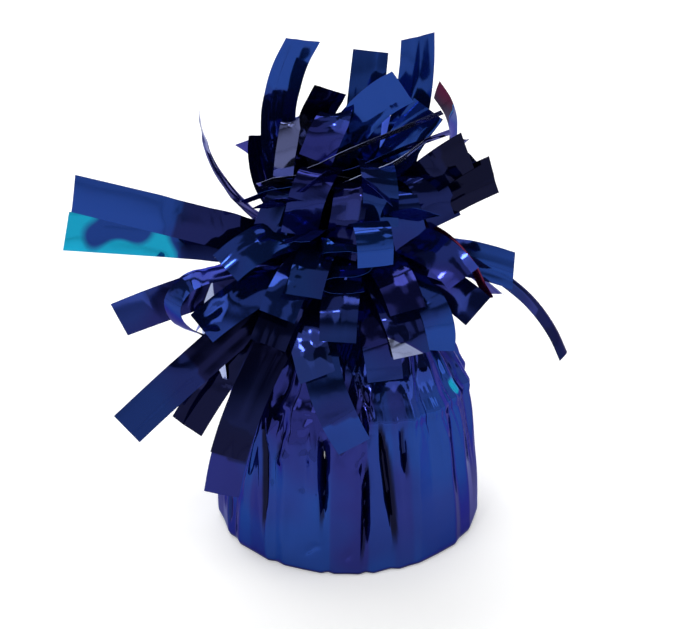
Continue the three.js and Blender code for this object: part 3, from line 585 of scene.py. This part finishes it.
def wrapper_grid(body):
    """The wrapper's points from the middle of its underside up to the mouth of its neck, and their marks."""
    creases = wrapper_creases()
    knots = [p.z for p in creases[0]]
    lines = fold_lines()
    widths = [(a[2] - b[2]).length for a, b in zip(creases, creases[1:] + creases[:1])]
    counts = [max(2, round(width / COLUMN)) for width in widths]
    turns = sum(counts)
    edge = [z for z in knots if z < 2 * MM]
    heights = edge + [mix(edge[-1], BODY_HEIGHT, k / WRAPPER_ROWS) for k in range(1, WRAPPER_ROWS + 1)]
    grid, marks = [], []
    for z in heights:
        corners = crease_corners(creases, knots, z)
        ring = []
        for k, count in enumerate(counts):
            after = corners[(k + 1) % len(corners)]
            ring += [corners[k].lerp(after, step / count) for step in range(count)]
        soft = [(ring[j - 1] + ring[j] * 2 + ring[(j + 1) % turns]) / 4 for j in range(turns)]
        taut = smooth((z - 30 * MM) / (9 * MM)) * (1 - smooth((z - 54 * MM) / (8 * MM)))
        # The fine folds fade out at the base's edge and up in the neck.
        calm = smooth(z / (4 * MM)) * (1 - smooth((z / BODY_HEIGHT - 0.8) / 0.12))
        # Painted shade along the base's edge, where the film turns under.
        painted_shade_under_edge = 0.8 * (1 - smooth(z / edge[-1]))
        row, marked = [], []
        for p in drawn_tight(soft, taut):
            heading = heading_of(p)
            out = Vector((p.x, p.y, 0)).normalized()
            lift, painted_shade_level = pressed(unrolled(heading - START_HEADING, z), lines)
            lift = lift * body.pleats + crumple(p, heading, body.crumples)
            row.append(p + out * lift * calm)
            marked.append((wrapper_tone_and_painted_reflection(heading, z), max(painted_shade_level, painted_shade_under_edge)))
        grid.append(row)
        marks.append(marked)
    lowest = body.thickness / 2
    grid = [[Vector((p.x, p.y, max(p.z, lowest))) for p in row] for row in grid]
    # The underside takes the bottom ring's tone and painted shade.
    under = [[Vector((p.x * share, p.y * share, lowest)) for p in grid[0]] for share in UNDERSIDE]
    return under + grid, [marks[0] for share in UNDERSIDE] + marks


# Fringe


ROOT_REACH = 6 * MM  # the roots stand within this distance of the neck's axis
RING_POINTS = 6  # points in each ring of a packed strip
ROW_LENGTH = 0.85 * MM  # length of the rows of a tongue's grid
TONGUE_COLUMNS = 10
OPENED = 15 * MM  # a strip is as wide as its tip from here on, so that the heap closes over the neck
TONGUE_WAVE, TONGUE_WAVE_HEIGHT = 12, 0.22 * MM  # soft waves of a tongue: how many mm apart, and how high
FIRST_SEED = 101  # each tongue draws its guessed values from a seed of its own, counted from here
CUT_SLANT = 0.15  # slant at which the tone and painted shade of a cut end stop, in rows by column
SILVER_HIGHLIGHT_SLANT = 0.9  # and that of a painted silver highlight


def strip_lines(name):
    """Left edge, middle and right edge of a packed strip, ring by ring from its root to its tip."""

    def is_root(verts):
        inner = (v for v in verts if v.co.xy.length < ROOT_REACH)
        return sorted(inner, key=lambda v: v.co.z)[:RING_POINTS]

    across = None
    lines = []
    for points in rings_of(name, is_root):
        ends = max(((a, b) for a in points for b in points), key=lambda pair: (pair[0] - pair[1]).length)
        axis = (ends[1] - ends[0]).normalized()
        if across is None:
            # The first ring runs anticlockwise round the neck, so the film's outer face looks outwards.
            centre = sum(points, Vector()) / RING_POINTS
            across = Vector((-centre.y, centre.x, 0))
        if axis.dot(across) < 0:
            axis.negate()
        across = axis
        points.sort(key=axis.dot)
        lines.append([(points[k] + points[k + 1]) / 2 for k in (0, 2, 4)])
    return [list(line) for line in zip(*lines)]


def creases_for(rng, length, width):
    """Bends pressed into a strip: lines across it at a slant, and one or two along it from the root."""
    creases = []
    for k in range(rng.randint(2, 4)):
        at = rng.uniform(0.3, 0.95) * length
        slant = math.radians(rng.uniform(-50, 50))
        direction = Vector((math.cos(slant), math.sin(slant)))
        reach, height = rng.uniform(1.5, 4.5) * MM, rng.uniform(-0.35, 0.35) * MM
        creases.append((Vector((at, 0)), direction, reach, height))
    for k in range(rng.randint(1, 2)):
        side = rng.uniform(-0.3, 0.3) * width
        slant = math.radians(90 + rng.uniform(-5, 5))
        direction = Vector((math.cos(slant), math.sin(slant)))
        reach, height = rng.uniform(1.2, 2.6) * MM, rng.uniform(-0.4, 0.4) * MM
        creases.append((Vector((0, side)), direction, reach, height))
    return creases


# Strips that are seen: number, then the length of the strip's end in millimetres, its bend and its
# twist in degrees, and the tone and the painted shade of the end and of the rest. These tones are painted
# reflection tones, set strip by strip to how each strip's reflection looks.
SEEN_ENDS_AND_PAINTED_LIGHT = {
    1: (14, 8, 0, (-0.35, 0), (0.3, 0.1)),
    2: (20, 10, 0, (-0.5, 0), (-0.2, 0)),
    3: (16, 8, 0, (-0.1, 0), (0.1, 0.2)),
    4: (9, 0, 0, (0.5, 0.3), (0.5, 0.2)),
    5: (27, 6, 18, (0.0, 0), (0.5, 0.5)),
    # Strip 6 carries a painted cyan highlight on its end.
    6: (30, -6, 14, (-0.84, 0), (0.4, 0.3)),
    7: (9, 10, 0, (0.7, 0.3), (0.7, 0.3)),
    8: (10, 0, 0, (0.5, 0.8), (0.5, 0.6)),
    9: (24, 0, 10, (0.3, 0.45), (0.8, 0.8)),
    10: (11, 8, 0, (1.0, 0.1), (0.9, 0.7)),
    11: (8, 0, 0, (0.9, 1), (0.9, 0.9)),
    12: (8, 0, 0, (0.9, 1), (0.9, 1)),
    13: (14, 6, -10, (0.0, 0), (0.3, 0.1)),
    14: (9, 22, 0, (-0.1, 0), (0.4, 0.35)),
    # Strip 16: a painted dark red reflection on its end, and a painted silver highlight on the rest.
    16: (9, 0, 0, (-2, 0.1), (1.5, 0.3)),
    17: (9, 0, 0, (-0.2, 0), (0.0, 0)),
    18: (7, 0, 0, (0.5, 0.6), (0.5, 0.5)),
    19: (9, 0, 0, (0.9, 0.9), (0.9, 0.8)),
    20: (14, -10, 0, (-0.35, 0), (-0.2, 0.1)),
    21: (9, 0, 0, (0.9, 0.8), (0.9, 0.8)),
    22: (10, 0, 0, (0.9, 0.9), (0.9, 0.9)),
    23: (9, 4, 0, (0.9, 0.9), (0.9, 0.8)),
    24: (9, 0, 0, (0.9, 0.2), (0.9, 0.2)),
    28: (9, 0, 0, (0.9, 0.8), (0.9, 0.7)),
    29: (7, -14, 0, (0.5, 0.6), (0.8, 0.5)),
    31: (10, 12, 0, (-0.1, 0), (0.1, 0.1)),
    # Strip 32 ends in a painted silver highlight.
    32: (3.5, 14, 0, (1.55, 0), (0.4, 0.4)),
    38: (10, 6, 0, (0.2, 0.4), (0.2, 0.3)),
    40: (10, 8, 10, (0.6, 0), (0.6, 0.2)),
    41: (8, 12, 0, (0.3, 0.5), (0.3, 0.4)),
    43: (9, 16, 0, (0.6, 0.3), (0.9, 0.2)),
    44: (9, 6, 0, (0.9, 0.2), (0.9, 0.2)),
    45: (9, 0, 0, (0.9, 0.8), (0.9, 0.8)),
    49: (7, 0, 0, (0.5, 0.6), (0.5, 0.5)),
    53: (10, 10, 0, (0.0, 0), (0.0, 0.1)),
    # Strip 56 ends in a painted silver highlight.
    56: (11, 0, 0, (1.7, 0), (0.6, 0.2)),
}


def opened_sheet(lines, knots, width, rows):
    """Rows of points across a strip, from its root to its tip, which opens to its full width early on."""
    shares = [2 * j / TONGUE_COLUMNS - 1 for j in range(TONGUE_COLUMNS + 1)]
    sheet = []
    for i in range(rows + 1):
        at = knots[-1] * i / rows
        left, centre, right = (on_curve(line, knots, at) for line in lines)
        opening = max(1, 0.95 * width * smooth((at - 4 * MM) / OPENED) / (right - left).length)
        sag = ((right + left) / 2 - centre) * (1 - 0.6 * smooth(at / (30 * MM)))
        sheet.append([centre + (right - left) * s * opening / 2 + sag * s * s for s in shares])
    return sheet


def tongue_grid(lines, film, rng, end_length, bend, twist):
    """A strip's sheet, finely divided, with its bent end, creases and soft waves."""
    middle = lines[1]
    knots = [0]
    for a, b in zip(middle, middle[1:]):
        knots.append(knots[-1] + (b - a).length)
    length = knots[-1]
    width = (lines[2][-1] - lines[0][-1]).length
    rows = max(24, round(length / ROW_LENGTH))
    creases = creases_for(rng, length, width)
    seed = Vector([rng.uniform(-9, 9) for k in range(3)])
    plain = opened_sheet(lines, knots, width, rows)
    grid = []
    for i, row in enumerate(plain):
        at = length * i / rows
        free = smooth((at - 5 * MM) / (14 * MM))
        before, after = plain[max(0, i - 1)], plain[min(rows, i + 1)]
        line = []
        for j, p in enumerate(row):
            s = 2 * j / TONGUE_COLUMNS - 1
            side = row[min(j + 1, TONGUE_COLUMNS)] - row[max(j - 1, 0)]
            normal = side.cross(after[j] - before[j]).normalized()
            spot = Vector((at, s * width / 2))
            lift = noise.noise(Vector((at, spot.y, 0)) * per_metre(TONGUE_WAVE) + seed) * TONGUE_WAVE_HEIGHT
            past = at - length + end_length * MM + 0.15 * spot.y
            lift += math.tan(math.radians(bend)) * max(0, past)
            lift += math.tan(math.radians(twist)) * spot.y * smooth(past / (6 * MM))
            for origin, direction, reach, height in creases:
                distance = abs((spot - origin).dot(direction))
                lift += height * max(0, 1 - distance / reach)
            line.append(p + normal * lift * free * film.creases)
        grid.append(line)
    return grid


# The real weight has about 70 tongues, and the imported one 56. Most of these lie over the middle of the heap.
# Each has its route from the neck's mouth, in millimetres to the right, to the back and up, its width in
# millimetres, the direction in which its width lies, and its tone and painted shade. A tone from 1.3 up is
# a painted silver highlight, and one of -1.3 or below a painted dark red reflection.
TOWARDS_EYE = (0.1, -0.78, 0.62)
LEVEL = (1, 0.1, 0)
LOOSE_TONGUES = {
    "loose_tongue_1": (
        [(0, 0, -2), (-5, -1, 11), (-13, -3, 25), (-2, -4, 33), (11, -4, 39), (23, -3, 44)],
        6.5, TOWARDS_EYE, (1.5, 0),
    ),
    "loose_tongue_2": (
        [(1, 0, -2), (-3, -1, 12), (-9, -4, 24), (3, -5, 30), (14, -5, 35), (25, -4, 39)],
        5.5, TOWARDS_EYE, (0.3, 0),
    ),
    "loose_tongue_3": (
        [(1, 0, -2), (-1, -1, 12), (-5, -4, 22), (5, -5, 28), (12, -6, 32), (19, -5, 37)],
        6.0, TOWARDS_EYE, (2, 0),
    ),
    "loose_tongue_4": (
        [(0, 0, -2), (3, -1, 11), (4, -3, 23), (-5, -4, 27), (-14, -5, 27), (-22, -5, 25)],
        6.0, TOWARDS_EYE, (1.5, 0),
    ),
    "loose_tongue_5": (
        [(-1, 0, -2), (2, -1, 10), (1, -4, 21), (-8, -6, 25), (-18, -6, 24), (-26, -6, 21)],
        5.5, TOWARDS_EYE, (0, 0),
    ),
    "cover_tongue_1": (
        [(-1, 0, -2), (-4, 2, 12), (-9, 0, 23), (-14, -7, 25), (-18, -11, 19), (-21, -13, 10)],
        8.5, LEVEL, (0.4, 0.5),
    ),
    "cover_tongue_2": (
        [(0, 0, -2), (-1, 2, 14), (-3, 0, 27), (-7, -8, 30), (-10, -12, 25), (-12, -14, 16)],
        9, LEVEL, (0.8, 0.3),
    ),
    "cover_tongue_3": (
        [(0, 0, -2), (1, 3, 13), (1, 1, 24), (1, -9, 27), (0, -14, 21), (-2, -16, 11)],
        8.5, (1, -0.2, 0.1), (0.9, 0.6),
    ),
    "cover_tongue_4": (
        [(0, 0, -2), (2, 3, 14), (5, 1, 28), (7, -7, 32), (8, -12, 27), (8, -14, 18)],
        9, (1, 0.2, -0.2), (0.2, 0.4),
    ),
    "cover_tongue_5": (
        [(1, 0, -2), (3, 2, 12), (8, 0, 22), (12, -8, 25), (14, -12, 20), (16, -14, 12)],
        8.5, LEVEL, (0.7, 0.2),
    ),
    "cover_tongue_6": (
        [(1, 0, -2), (5, 2, 13), (11, 1, 24), (17, -5, 28), (21, -8, 24), (24, -9, 17)],
        8.5, (1, 0.3, 0.2), (0.9, 0.6),
    ),
    "cover_tongue_7": (
        [(0, 0, -2), (-4, 2, 15), (-8, 2, 30), (-13, -1, 41), (-15, -4, 35), (-16, -5, 27)],
        5, (1, 0.2, 0.6), (1.4, 0.3),
    ),
    "cover_tongue_8": (
        [(0, 0, -2), (0, 3, 16), (-1, 4, 33), (-2, 1, 42), (-5, -3, 39), (-8, -5, 32)],
        8.5, (1, 0.1, 0.3), (0.7, 0.1),
    ),
    "left_tongue": (
        [(-1, 0, -2), (-8, -2, 8), (-18, -5, 9), (-28, -7, 3), (-34, -9, -9), (-33, -10, -26)],
        7, (0.7, -0.7, 0), (0.9, 0.6),
    ),
    "loop_tongue": (
        [
            *((0, -2, -2), (-3, -10, 9), (-6, -20, 15), (-5, -25, 18)),
            *((1, -26, 18.5), (5, -26, 17.5), (5.5, -26, 14), (2, -26, 12)),
            *((-4, -26, 11.5), (-7, -26, 9.5), (-4, -26, 7.5), (4, -26, 8)),
        ],
        5.5, (0.1, -1, 0.05), (-0.1, 0),
    ),
    # A painted dark red reflection along the whole tongue.
    "narrow_tongue": (
        [(1, 0, -2), (6, -1, 9), (14, -5, 15), (23, -10, 14.5), (30, -13, 8), (35, -15, -1)],
        3, (0.4, -0.5, 0.8), (-2, 0),
    ),
}
SILVER_PAINTED_ENDS = {"left_tongue": (22, (1.8, 0))}  # painted silver highlight on the end: length in millimetres, tone and painted shade


def end_marks(grid, end_length, end_tone_and_painted_shade, tone_and_painted_shade):
    """The tone and painted shade of a tongue's points: one pair for its end, and one for the rest."""
    bent = len(grid) - end_length * MM / ROW_LENGTH
    slant = SILVER_HIGHLIGHT_SLANT if end_tone_and_painted_shade[0] > SILVER_PAINTED_HIGHLIGHT[0] else CUT_SLANT
    return [
        [end_tone_and_painted_shade if i > bent + slant * (j - TONGUE_COLUMNS / 2) else tone_and_painted_shade for j in range(len(row))]
        for i, row in enumerate(grid)
    ]


def loose_lines(route, width, facing):
    """Left edge, middle and right edge of a loose tongue, whose width lies in the given direction."""
    points = [Vector(p) * MM + Vector((0, 0, BODY_HEIGHT)) for p in route]
    count = 4 * len(points)
    knots = list(range(len(points)))
    middle = [on_curve(points, knots, k * knots[-1] / count) for k in range(count + 1)]
    lines = [[], middle, []]
    for k, p in enumerate(middle):
        along = (middle[min(k + 1, count)] - middle[max(k - 1, 0)]).normalized()
        across = (Vector(facing) - along * along.dot(Vector(facing))).normalized()
        half = across * width * MM / 2 * mix(0.15, 1, smooth(k / (0.4 * count)))
        lines[0].append(p - half)
        lines[2].append(p + half)
    return lines


# Stage


CAMERA_ELEVATION = 28  # degrees
CAMERA_DISTANCE = 0.75
CAMERA_SENSOR = 36  # the sensor's width and the focal length, in millimetres
CAMERA_LENS = 151.87
CAMERA_AIM = Vector((0.53, 0, 57)) * MM
FLOOR_SIZE = 6.0


def floor_material(stage):
    """Matt white sweep paper. What the camera and the film's reflections see of it is lifted to white, and
    the object's shadow stays on it."""
    material, tree, place = new_material("white_sweep_paper")
    path = add(tree, "ShaderNodeLightPath")
    seen = add(
        tree,
        "ShaderNodeMath",
        {0: path.outputs["Is Camera Ray"], 1: path.outputs["Is Glossy Ray"]},
        operation="ADD",
    )
    clear = add(
        tree,
        "ShaderNodeMath",
        {0: seen.outputs[0], 1: path.outputs["Is Transmission Ray"]},
        operation="ADD",
        use_clamp=True,
    )
    lift = add(tree, "ShaderNodeMath", {0: clear.outputs[0], 1: stage.floor_lift}, operation="MULTIPLY")
    fibre = add(tree, "ShaderNodeTexNoise", {"Vector": place, "Scale": per_metre(3), "Detail": 4.0})
    bump = add(
        tree,
        "ShaderNodeBump",
        {"Height": fibre.outputs["Fac"], "Strength": 0.05, "Distance": 0.1 * MM},
    )
    paper = add(
        tree,
        "ShaderNodeBsdfDiffuse",
        {"Color": opaque(stage.floor_colour), "Normal": bump.outputs["Normal"]},
    )
    glow = add(tree, "ShaderNodeEmission", {"Color": [1, 1, 1, 1], "Strength": lift.outputs[0]})
    both = add(tree, "ShaderNodeAddShader", {0: paper.outputs[0], 1: glow.outputs[0]})
    close_material(tree, both.outputs[0])
    return material


def light_world(stage):
    """A studio's surroundings: pale walls low down, and dark above with pale flats and doorways in it, which
    the film throws back as patches."""
    world = bpy.data.worlds.new("studio")
    bpy.context.scene.world = world
    world.use_nodes = True
    tree = world.node_tree
    tree.nodes.clear()
    place = add(tree, "ShaderNodeTexCoord").outputs["Generated"]
    height = add(tree, "ShaderNodeSeparateXYZ", {"Vector": place}).outputs["Z"]
    limits = {"From Min": 0.22, "From Max": 0.5, "To Min": 1.0, "To Max": 0.0}
    wall = add(tree, "ShaderNodeMapRange", {"Value": height, **limits})
    uneven = {"Scale": 2.2, "Detail": 1.5, "Roughness": 0.5}
    clutter = add(tree, "ShaderNodeTexNoise", {"Vector": place, **uneven})
    limits = {"From Min": 0.52, "From Max": 0.57, "To Min": 0.08, "To Max": 0.65}
    flats = add(tree, "ShaderNodeMapRange", {"Value": clutter.outputs["Fac"], **limits})
    level = add(
        tree,
        "ShaderNodeMix",
        {"Factor": wall.outputs["Result"], "A": flats.outputs["Result"], "B": 0.95},
    )
    light = {"Color": level.outputs["Result"], "Strength": stage.room_light}
    sky = add(tree, "ShaderNodeBackground", light)
    add(tree, "ShaderNodeOutputWorld", {"Surface": sky.outputs[0]})


# Softboxes: name, place and size in metres, and radiant power in watts.
SOFTBOXES = [
    ("key_softbox", (-0.25, 0.85, 1.05), 1.30, 13),
    ("front_softbox", (-0.80, -0.90, 1.00), 1.00, 4),
    ("right_softbox", (1.10, -0.20, 0.85), 0.90, 3.5),
    ("top_softbox", (0.15, 0.05, 1.30), 0.45, 2.0),
    ("glint_lamp", (-0.40, -0.75, 1.15), 0.10, 0.9),
]


def light_stage(stage):
    """Hangs the softboxes, all turned to the middle of the weight."""
    for name, place, size, power in SOFTBOXES:
        lamp = bpy.data.lights.new(name, "AREA")
        lamp.shape = "SQUARE"
        lamp.size = size
        lamp.energy = power * stage.lamps
        holder = bpy.data.objects.new(name, lamp)
        holder.location = place
        aim = Vector((0, 0, 0.5 * CAD_BOX[1][2])) - holder.location
        holder.rotation_euler = aim.to_track_quat("-Z", "Y").to_euler()
        bpy.context.scene.collection.objects.link(holder)


def place_camera():
    """Stands the camera where the photograph was taken from."""
    camera = bpy.data.cameras.new("camera")
    camera.sensor_fit = "HORIZONTAL"
    camera.sensor_width = CAMERA_SENSOR
    camera.lens = CAMERA_LENS
    camera.clip_start = 0.05
    holder = bpy.data.objects.new("camera", camera)
    tilt = math.radians(CAMERA_ELEVATION)
    holder.location = CAMERA_AIM + Vector((0, -math.cos(tilt), math.sin(tilt))) * CAMERA_DISTANCE
    holder.rotation_euler = (math.pi / 2 - tilt, 0, 0)
    bpy.context.scene.collection.objects.link(holder)
    bpy.context.scene.camera = holder


def lay_floor(stage):
    """Lays the sweep paper that the weight stands on."""
    bm = bmesh.new()
    half = FLOOR_SIZE / 2
    corners = [bm.verts.new((x * half, y * half, 0)) for x, y in ((-1, -1), (1, -1), (1, 1), (-1, 1))]
    bm.faces.new(corners)
    mesh = bpy.data.meshes.new("floor")
    bm.to_mesh(mesh)
    bm.free()
    mesh.materials.append(floor_material(stage))
    floor = bpy.data.objects.new("floor", mesh)
    bpy.context.scene.collection.objects.link(floor)


# Settings


class WeightLook(bpy.types.PropertyGroup):
    film_blue: FloatVectorProperty(
        name="Film blue",
        description="Colour of the lacquered film where it faces the eye",
        subtype="COLOR",
        default=linear("1b3a83"),
    )
    # Also the colour of the indigo painted reflection tone.
    film_indigo: FloatVectorProperty(
        name="Film indigo",
        description="Colour of the film where the lacquer lies thicker",
        subtype="COLOR",
        default=linear("23286e"),
    )
    # Colour of the painted cyan highlight.
    painted_cyan_highlight: FloatVectorProperty(
        name="Film cyan",
        description="Colour of the film where the lacquer lies thin",
        subtype="COLOR",
        default=linear("14a4c8"),
    )
    # Colour of the painted silver highlight.
    painted_silver_highlight: FloatVectorProperty(
        name="Bare film",
        description="Colour of the film where the lacquer has flaked and the aluminium shows",
        subtype="COLOR",
        default=linear("a8b2d6"),
    )
    # Colour of the painted dark red reflection.
    painted_plum_reflection: FloatVectorProperty(
        name="Film plum",
        description="Colour of the few narrow tongues whose lacquer looks dark red",
        subtype="COLOR",
        default=linear("5c1a34"),
    )
    # Colour of the painted shade.
    film_painted_shade: FloatVectorProperty(
        name="Film in folds",
        description="Colour of the film deep in a fold",
        subtype="COLOR",
        default=linear("090b26"),
    )
    film_edge: FloatVectorProperty(
        name="Film edge tint",
        description="Tint of the film's reflection at a slant",
        subtype="COLOR",
        default=linear("5060b8"),
    )
    film_roughness: FloatProperty(
        name="Film roughness",
        description="Blur of the film's reflections",
        default=0.09,
        min=0,
        max=1,
        subtype="FACTOR",
    )
    wire: FloatVectorProperty(
        name="Wire coat",
        description="Colour of the tie's plastic coat",
        subtype="COLOR",
        default=linear("1b2f73"),
    )
    cup: FloatVectorProperty(
        name="Cup",
        description="Colour of the moulded cup inside the film",
        subtype="COLOR",
        default=linear("e8e8e4"),
    )
    plaster: FloatVectorProperty(
        name="Plaster",
        description="Colour of the cast fill",
        subtype="COLOR",
        default=linear("d9d5cb"),
    )


class WeightBody(bpy.types.PropertyGroup):
    thickness: FloatProperty(
        name="Film thickness",
        description="Thickness of the film, drawn a little heavy so that its edges show",
        default=0.06 * MM,
        min=0.01 * MM,
        unit="LENGTH",
        precision=5,
    )
    pleats: FloatProperty(
        name="Pleat depth",
        description="Depth of the folds pressed into the film, as a share of their own",
        default=1.0,
        min=0,
        max=1.5,
        subtype="FACTOR",
    )
    crumples: FloatProperty(
        name="Crumples",
        description="Strength of the crumples on the shoulder",
        default=1.0,
        min=0,
        max=2,
        subtype="FACTOR",
    )


class WeightFringe(bpy.types.PropertyGroup):
    thickness: FloatProperty(
        name="Film thickness",
        description="Thickness of the slit film",
        default=0.06 * MM,
        min=0.01 * MM,
        unit="LENGTH",
        precision=5,
    )
    creases: FloatProperty(
        name="Creases",
        description="Strength of the creases and waves in the strips",
        default=1.0,
        min=0,
        max=2,
        subtype="FACTOR",
    )


class WeightStage(bpy.types.PropertyGroup):
    floor_colour: FloatVectorProperty(
        name="Floor",
        description="Colour of the paper the weight stands on",
        subtype="COLOR",
        default=linear("f0f0f0"),
    )
    floor_lift: FloatProperty(
        name="Floor lift",
        description="How far the paper is lifted to white for the camera and for reflections",
        default=0.3,
        min=0,
        max=1,
    )
    room_light: FloatProperty(
        name="Room light",
        description="Strength of the light from the room",
        default=1.0,
        min=0,
        max=3,
    )
    lamps: FloatProperty(
        name="Lamps",
        description="Strength of the softboxes, as a share of their own",
        default=1.0,
        min=0,
        max=3,
    )


# Operators


class WEIGHT_OT_stage(bpy.types.Operator):
    """Lay the floor, light the weight and place the camera"""

    bl_idname = "weight.stage"
    bl_label = "Stage"

    def execute(self, context):
        stage = context.scene.weight_stage
        context.scene.view_settings.view_transform = "Standard"
        place_camera()
        lay_floor(stage)
        light_world(stage)
        light_stage(stage)
        return {"FINISHED"}


class WEIGHT_OT_wrapper(bpy.types.Operator):
    """Make the pleated film wrapper round the cup"""

    bl_idname = "weight.wrapper"
    bl_label = "Film wrapper"

    def execute(self, context):
        body = context.scene.weight_body
        grid, marks = wrapper_grid(body)
        bm = closed_sheet(grid, body.thickness, True, marks)
        film = shared_film(context.scene.weight_look)
        finish_piece("pleated_wrapper", bm, film, "root", "blue_film", "film_wrapper")
        return {"FINISHED"}


class WEIGHT_OT_fringe(bpy.types.Operator):
    """Make the slit film strips of the fringe"""

    bl_idname = "weight.fringe"
    bl_label = "Fringe"

    def execute(self, context):
        if not STRIPS:
            raise RuntimeError("the packed frame holds no fringe strips")
        fringe = context.scene.weight_fringe
        film = shared_film(context.scene.weight_look)
        for k, name in enumerate(STRIPS + list(LOOSE_TONGUES)):
            rng = random.Random(FIRST_SEED + k)
            tone_and_painted_shade = rng.choice((0, 0.2, 0.5, 0.9)), 0
            guessed = rng.uniform(5, 11), rng.choice((-16, -10, 0, 0, 10, 16)), 0, tone_and_painted_shade, tone_and_painted_shade
            # A seen strip takes its painted reflection tone and painted shade from the table.
            end_length, bend, twist, end_tone_and_painted_shade, tone_and_painted_shade = SEEN_ENDS_AND_PAINTED_LIGHT.get(k + 1, guessed)
            packed = name in STRIPS
            if packed:
                lines = strip_lines(name)
            else:
                route, width, facing, tone_and_painted_shade = LOOSE_TONGUES[name]
                # Some loose tongues end in a painted silver highlight.
                end_length, end_tone_and_painted_shade = SILVER_PAINTED_ENDS.get(name, (end_length, tone_and_painted_shade))
                bend = 0  # its route has its bends
                lines = loose_lines(route, width, facing)
            grid = tongue_grid(lines, fringe, rng, end_length, bend, twist)
            marks = end_marks(grid, end_length, end_tone_and_painted_shade, tone_and_painted_shade)
            bm = closed_sheet(grid, fringe.thickness, False, marks)
            tongue = name.replace("fringe_strip", "film_tongue")
            finish_piece(tongue, bm, film, "root", "blue_film", *([name] if packed else []))
        return {"FINISHED"}


class WEIGHT_OT_tie(bpy.types.Operator):
    """Make the coated wire tie round the neck"""

    bl_idname = "weight.tie"
    bl_label = "Wire tie"

    def execute(self, context):
        bm = bmesh.new()
        bm.from_mesh(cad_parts["wire_tie"].data)
        bmesh.ops.remove_doubles(bm, verts=bm.verts, dist=WELD)
        bmesh.ops.dissolve_limit(bm, angle_limit=math.radians(1), verts=bm.verts, edges=bm.edges)
        wire = coated_wire_material(context.scene.weight_look)
        finish_piece("coated_tie", bm, wire, "root", "wire_coat", "wire_tie")
        return {"FINISHED"}


class WEIGHT_OT_core(bpy.types.Operator):
    """Finish the cup and the plaster cast in it"""

    bl_idname = "weight.core"
    bl_label = "Cup and cast"

    def execute(self, context):
        look = context.scene.weight_look
        for name, make_material in (("weight_cup", cup_material), ("plaster_fill", plaster_material)):
            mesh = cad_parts[name].data
            mesh.materials.clear()
            mesh.materials.append(make_material(look))
        return {"FINISHED"}


class WEIGHT_PT_panel(bpy.types.Panel):
    bl_label = "Balloon weight"
    bl_space_type = "VIEW_3D"
    bl_region_type = "UI"
    bl_category = "Balloon weight"

    def draw(self, context):
        layout = self.layout
        for group in ("weight_look", "weight_body", "weight_fringe", "weight_stage"):
            settings = getattr(context.scene, group)
            for name in settings.__annotations__:
                layout.prop(settings, name)
        for operator in OPERATORS:
            layout.operator(operator.bl_idname)


OPERATORS = (WEIGHT_OT_stage, WEIGHT_OT_core, WEIGHT_OT_wrapper, WEIGHT_OT_tie, WEIGHT_OT_fringe)
SETTINGS = {
    "weight_look": WeightLook,
    "weight_body": WeightBody,
    "weight_fringe": WeightFringe,
    "weight_stage": WeightStage,
}


def register():
    for cls in (*SETTINGS.values(), *OPERATORS, WEIGHT_PT_panel):
        bpy.utils.register_class(cls)
    for name, group in SETTINGS.items():
        setattr(bpy.types.Scene, name, PointerProperty(type=group))


def unregister():
    for name in SETTINGS:
        delattr(bpy.types.Scene, name)
    for cls in reversed((*SETTINGS.values(), *OPERATORS, WEIGHT_PT_panel)):
        bpy.utils.unregister_class(cls)


def main():
    register()
    bpy.ops.weight.stage()
    bpy.ops.weight.core()
    bpy.ops.weight.wrapper()
    bpy.ops.weight.tie()
    bpy.ops.weight.fringe()


if __name__ == "__main__":
    main()
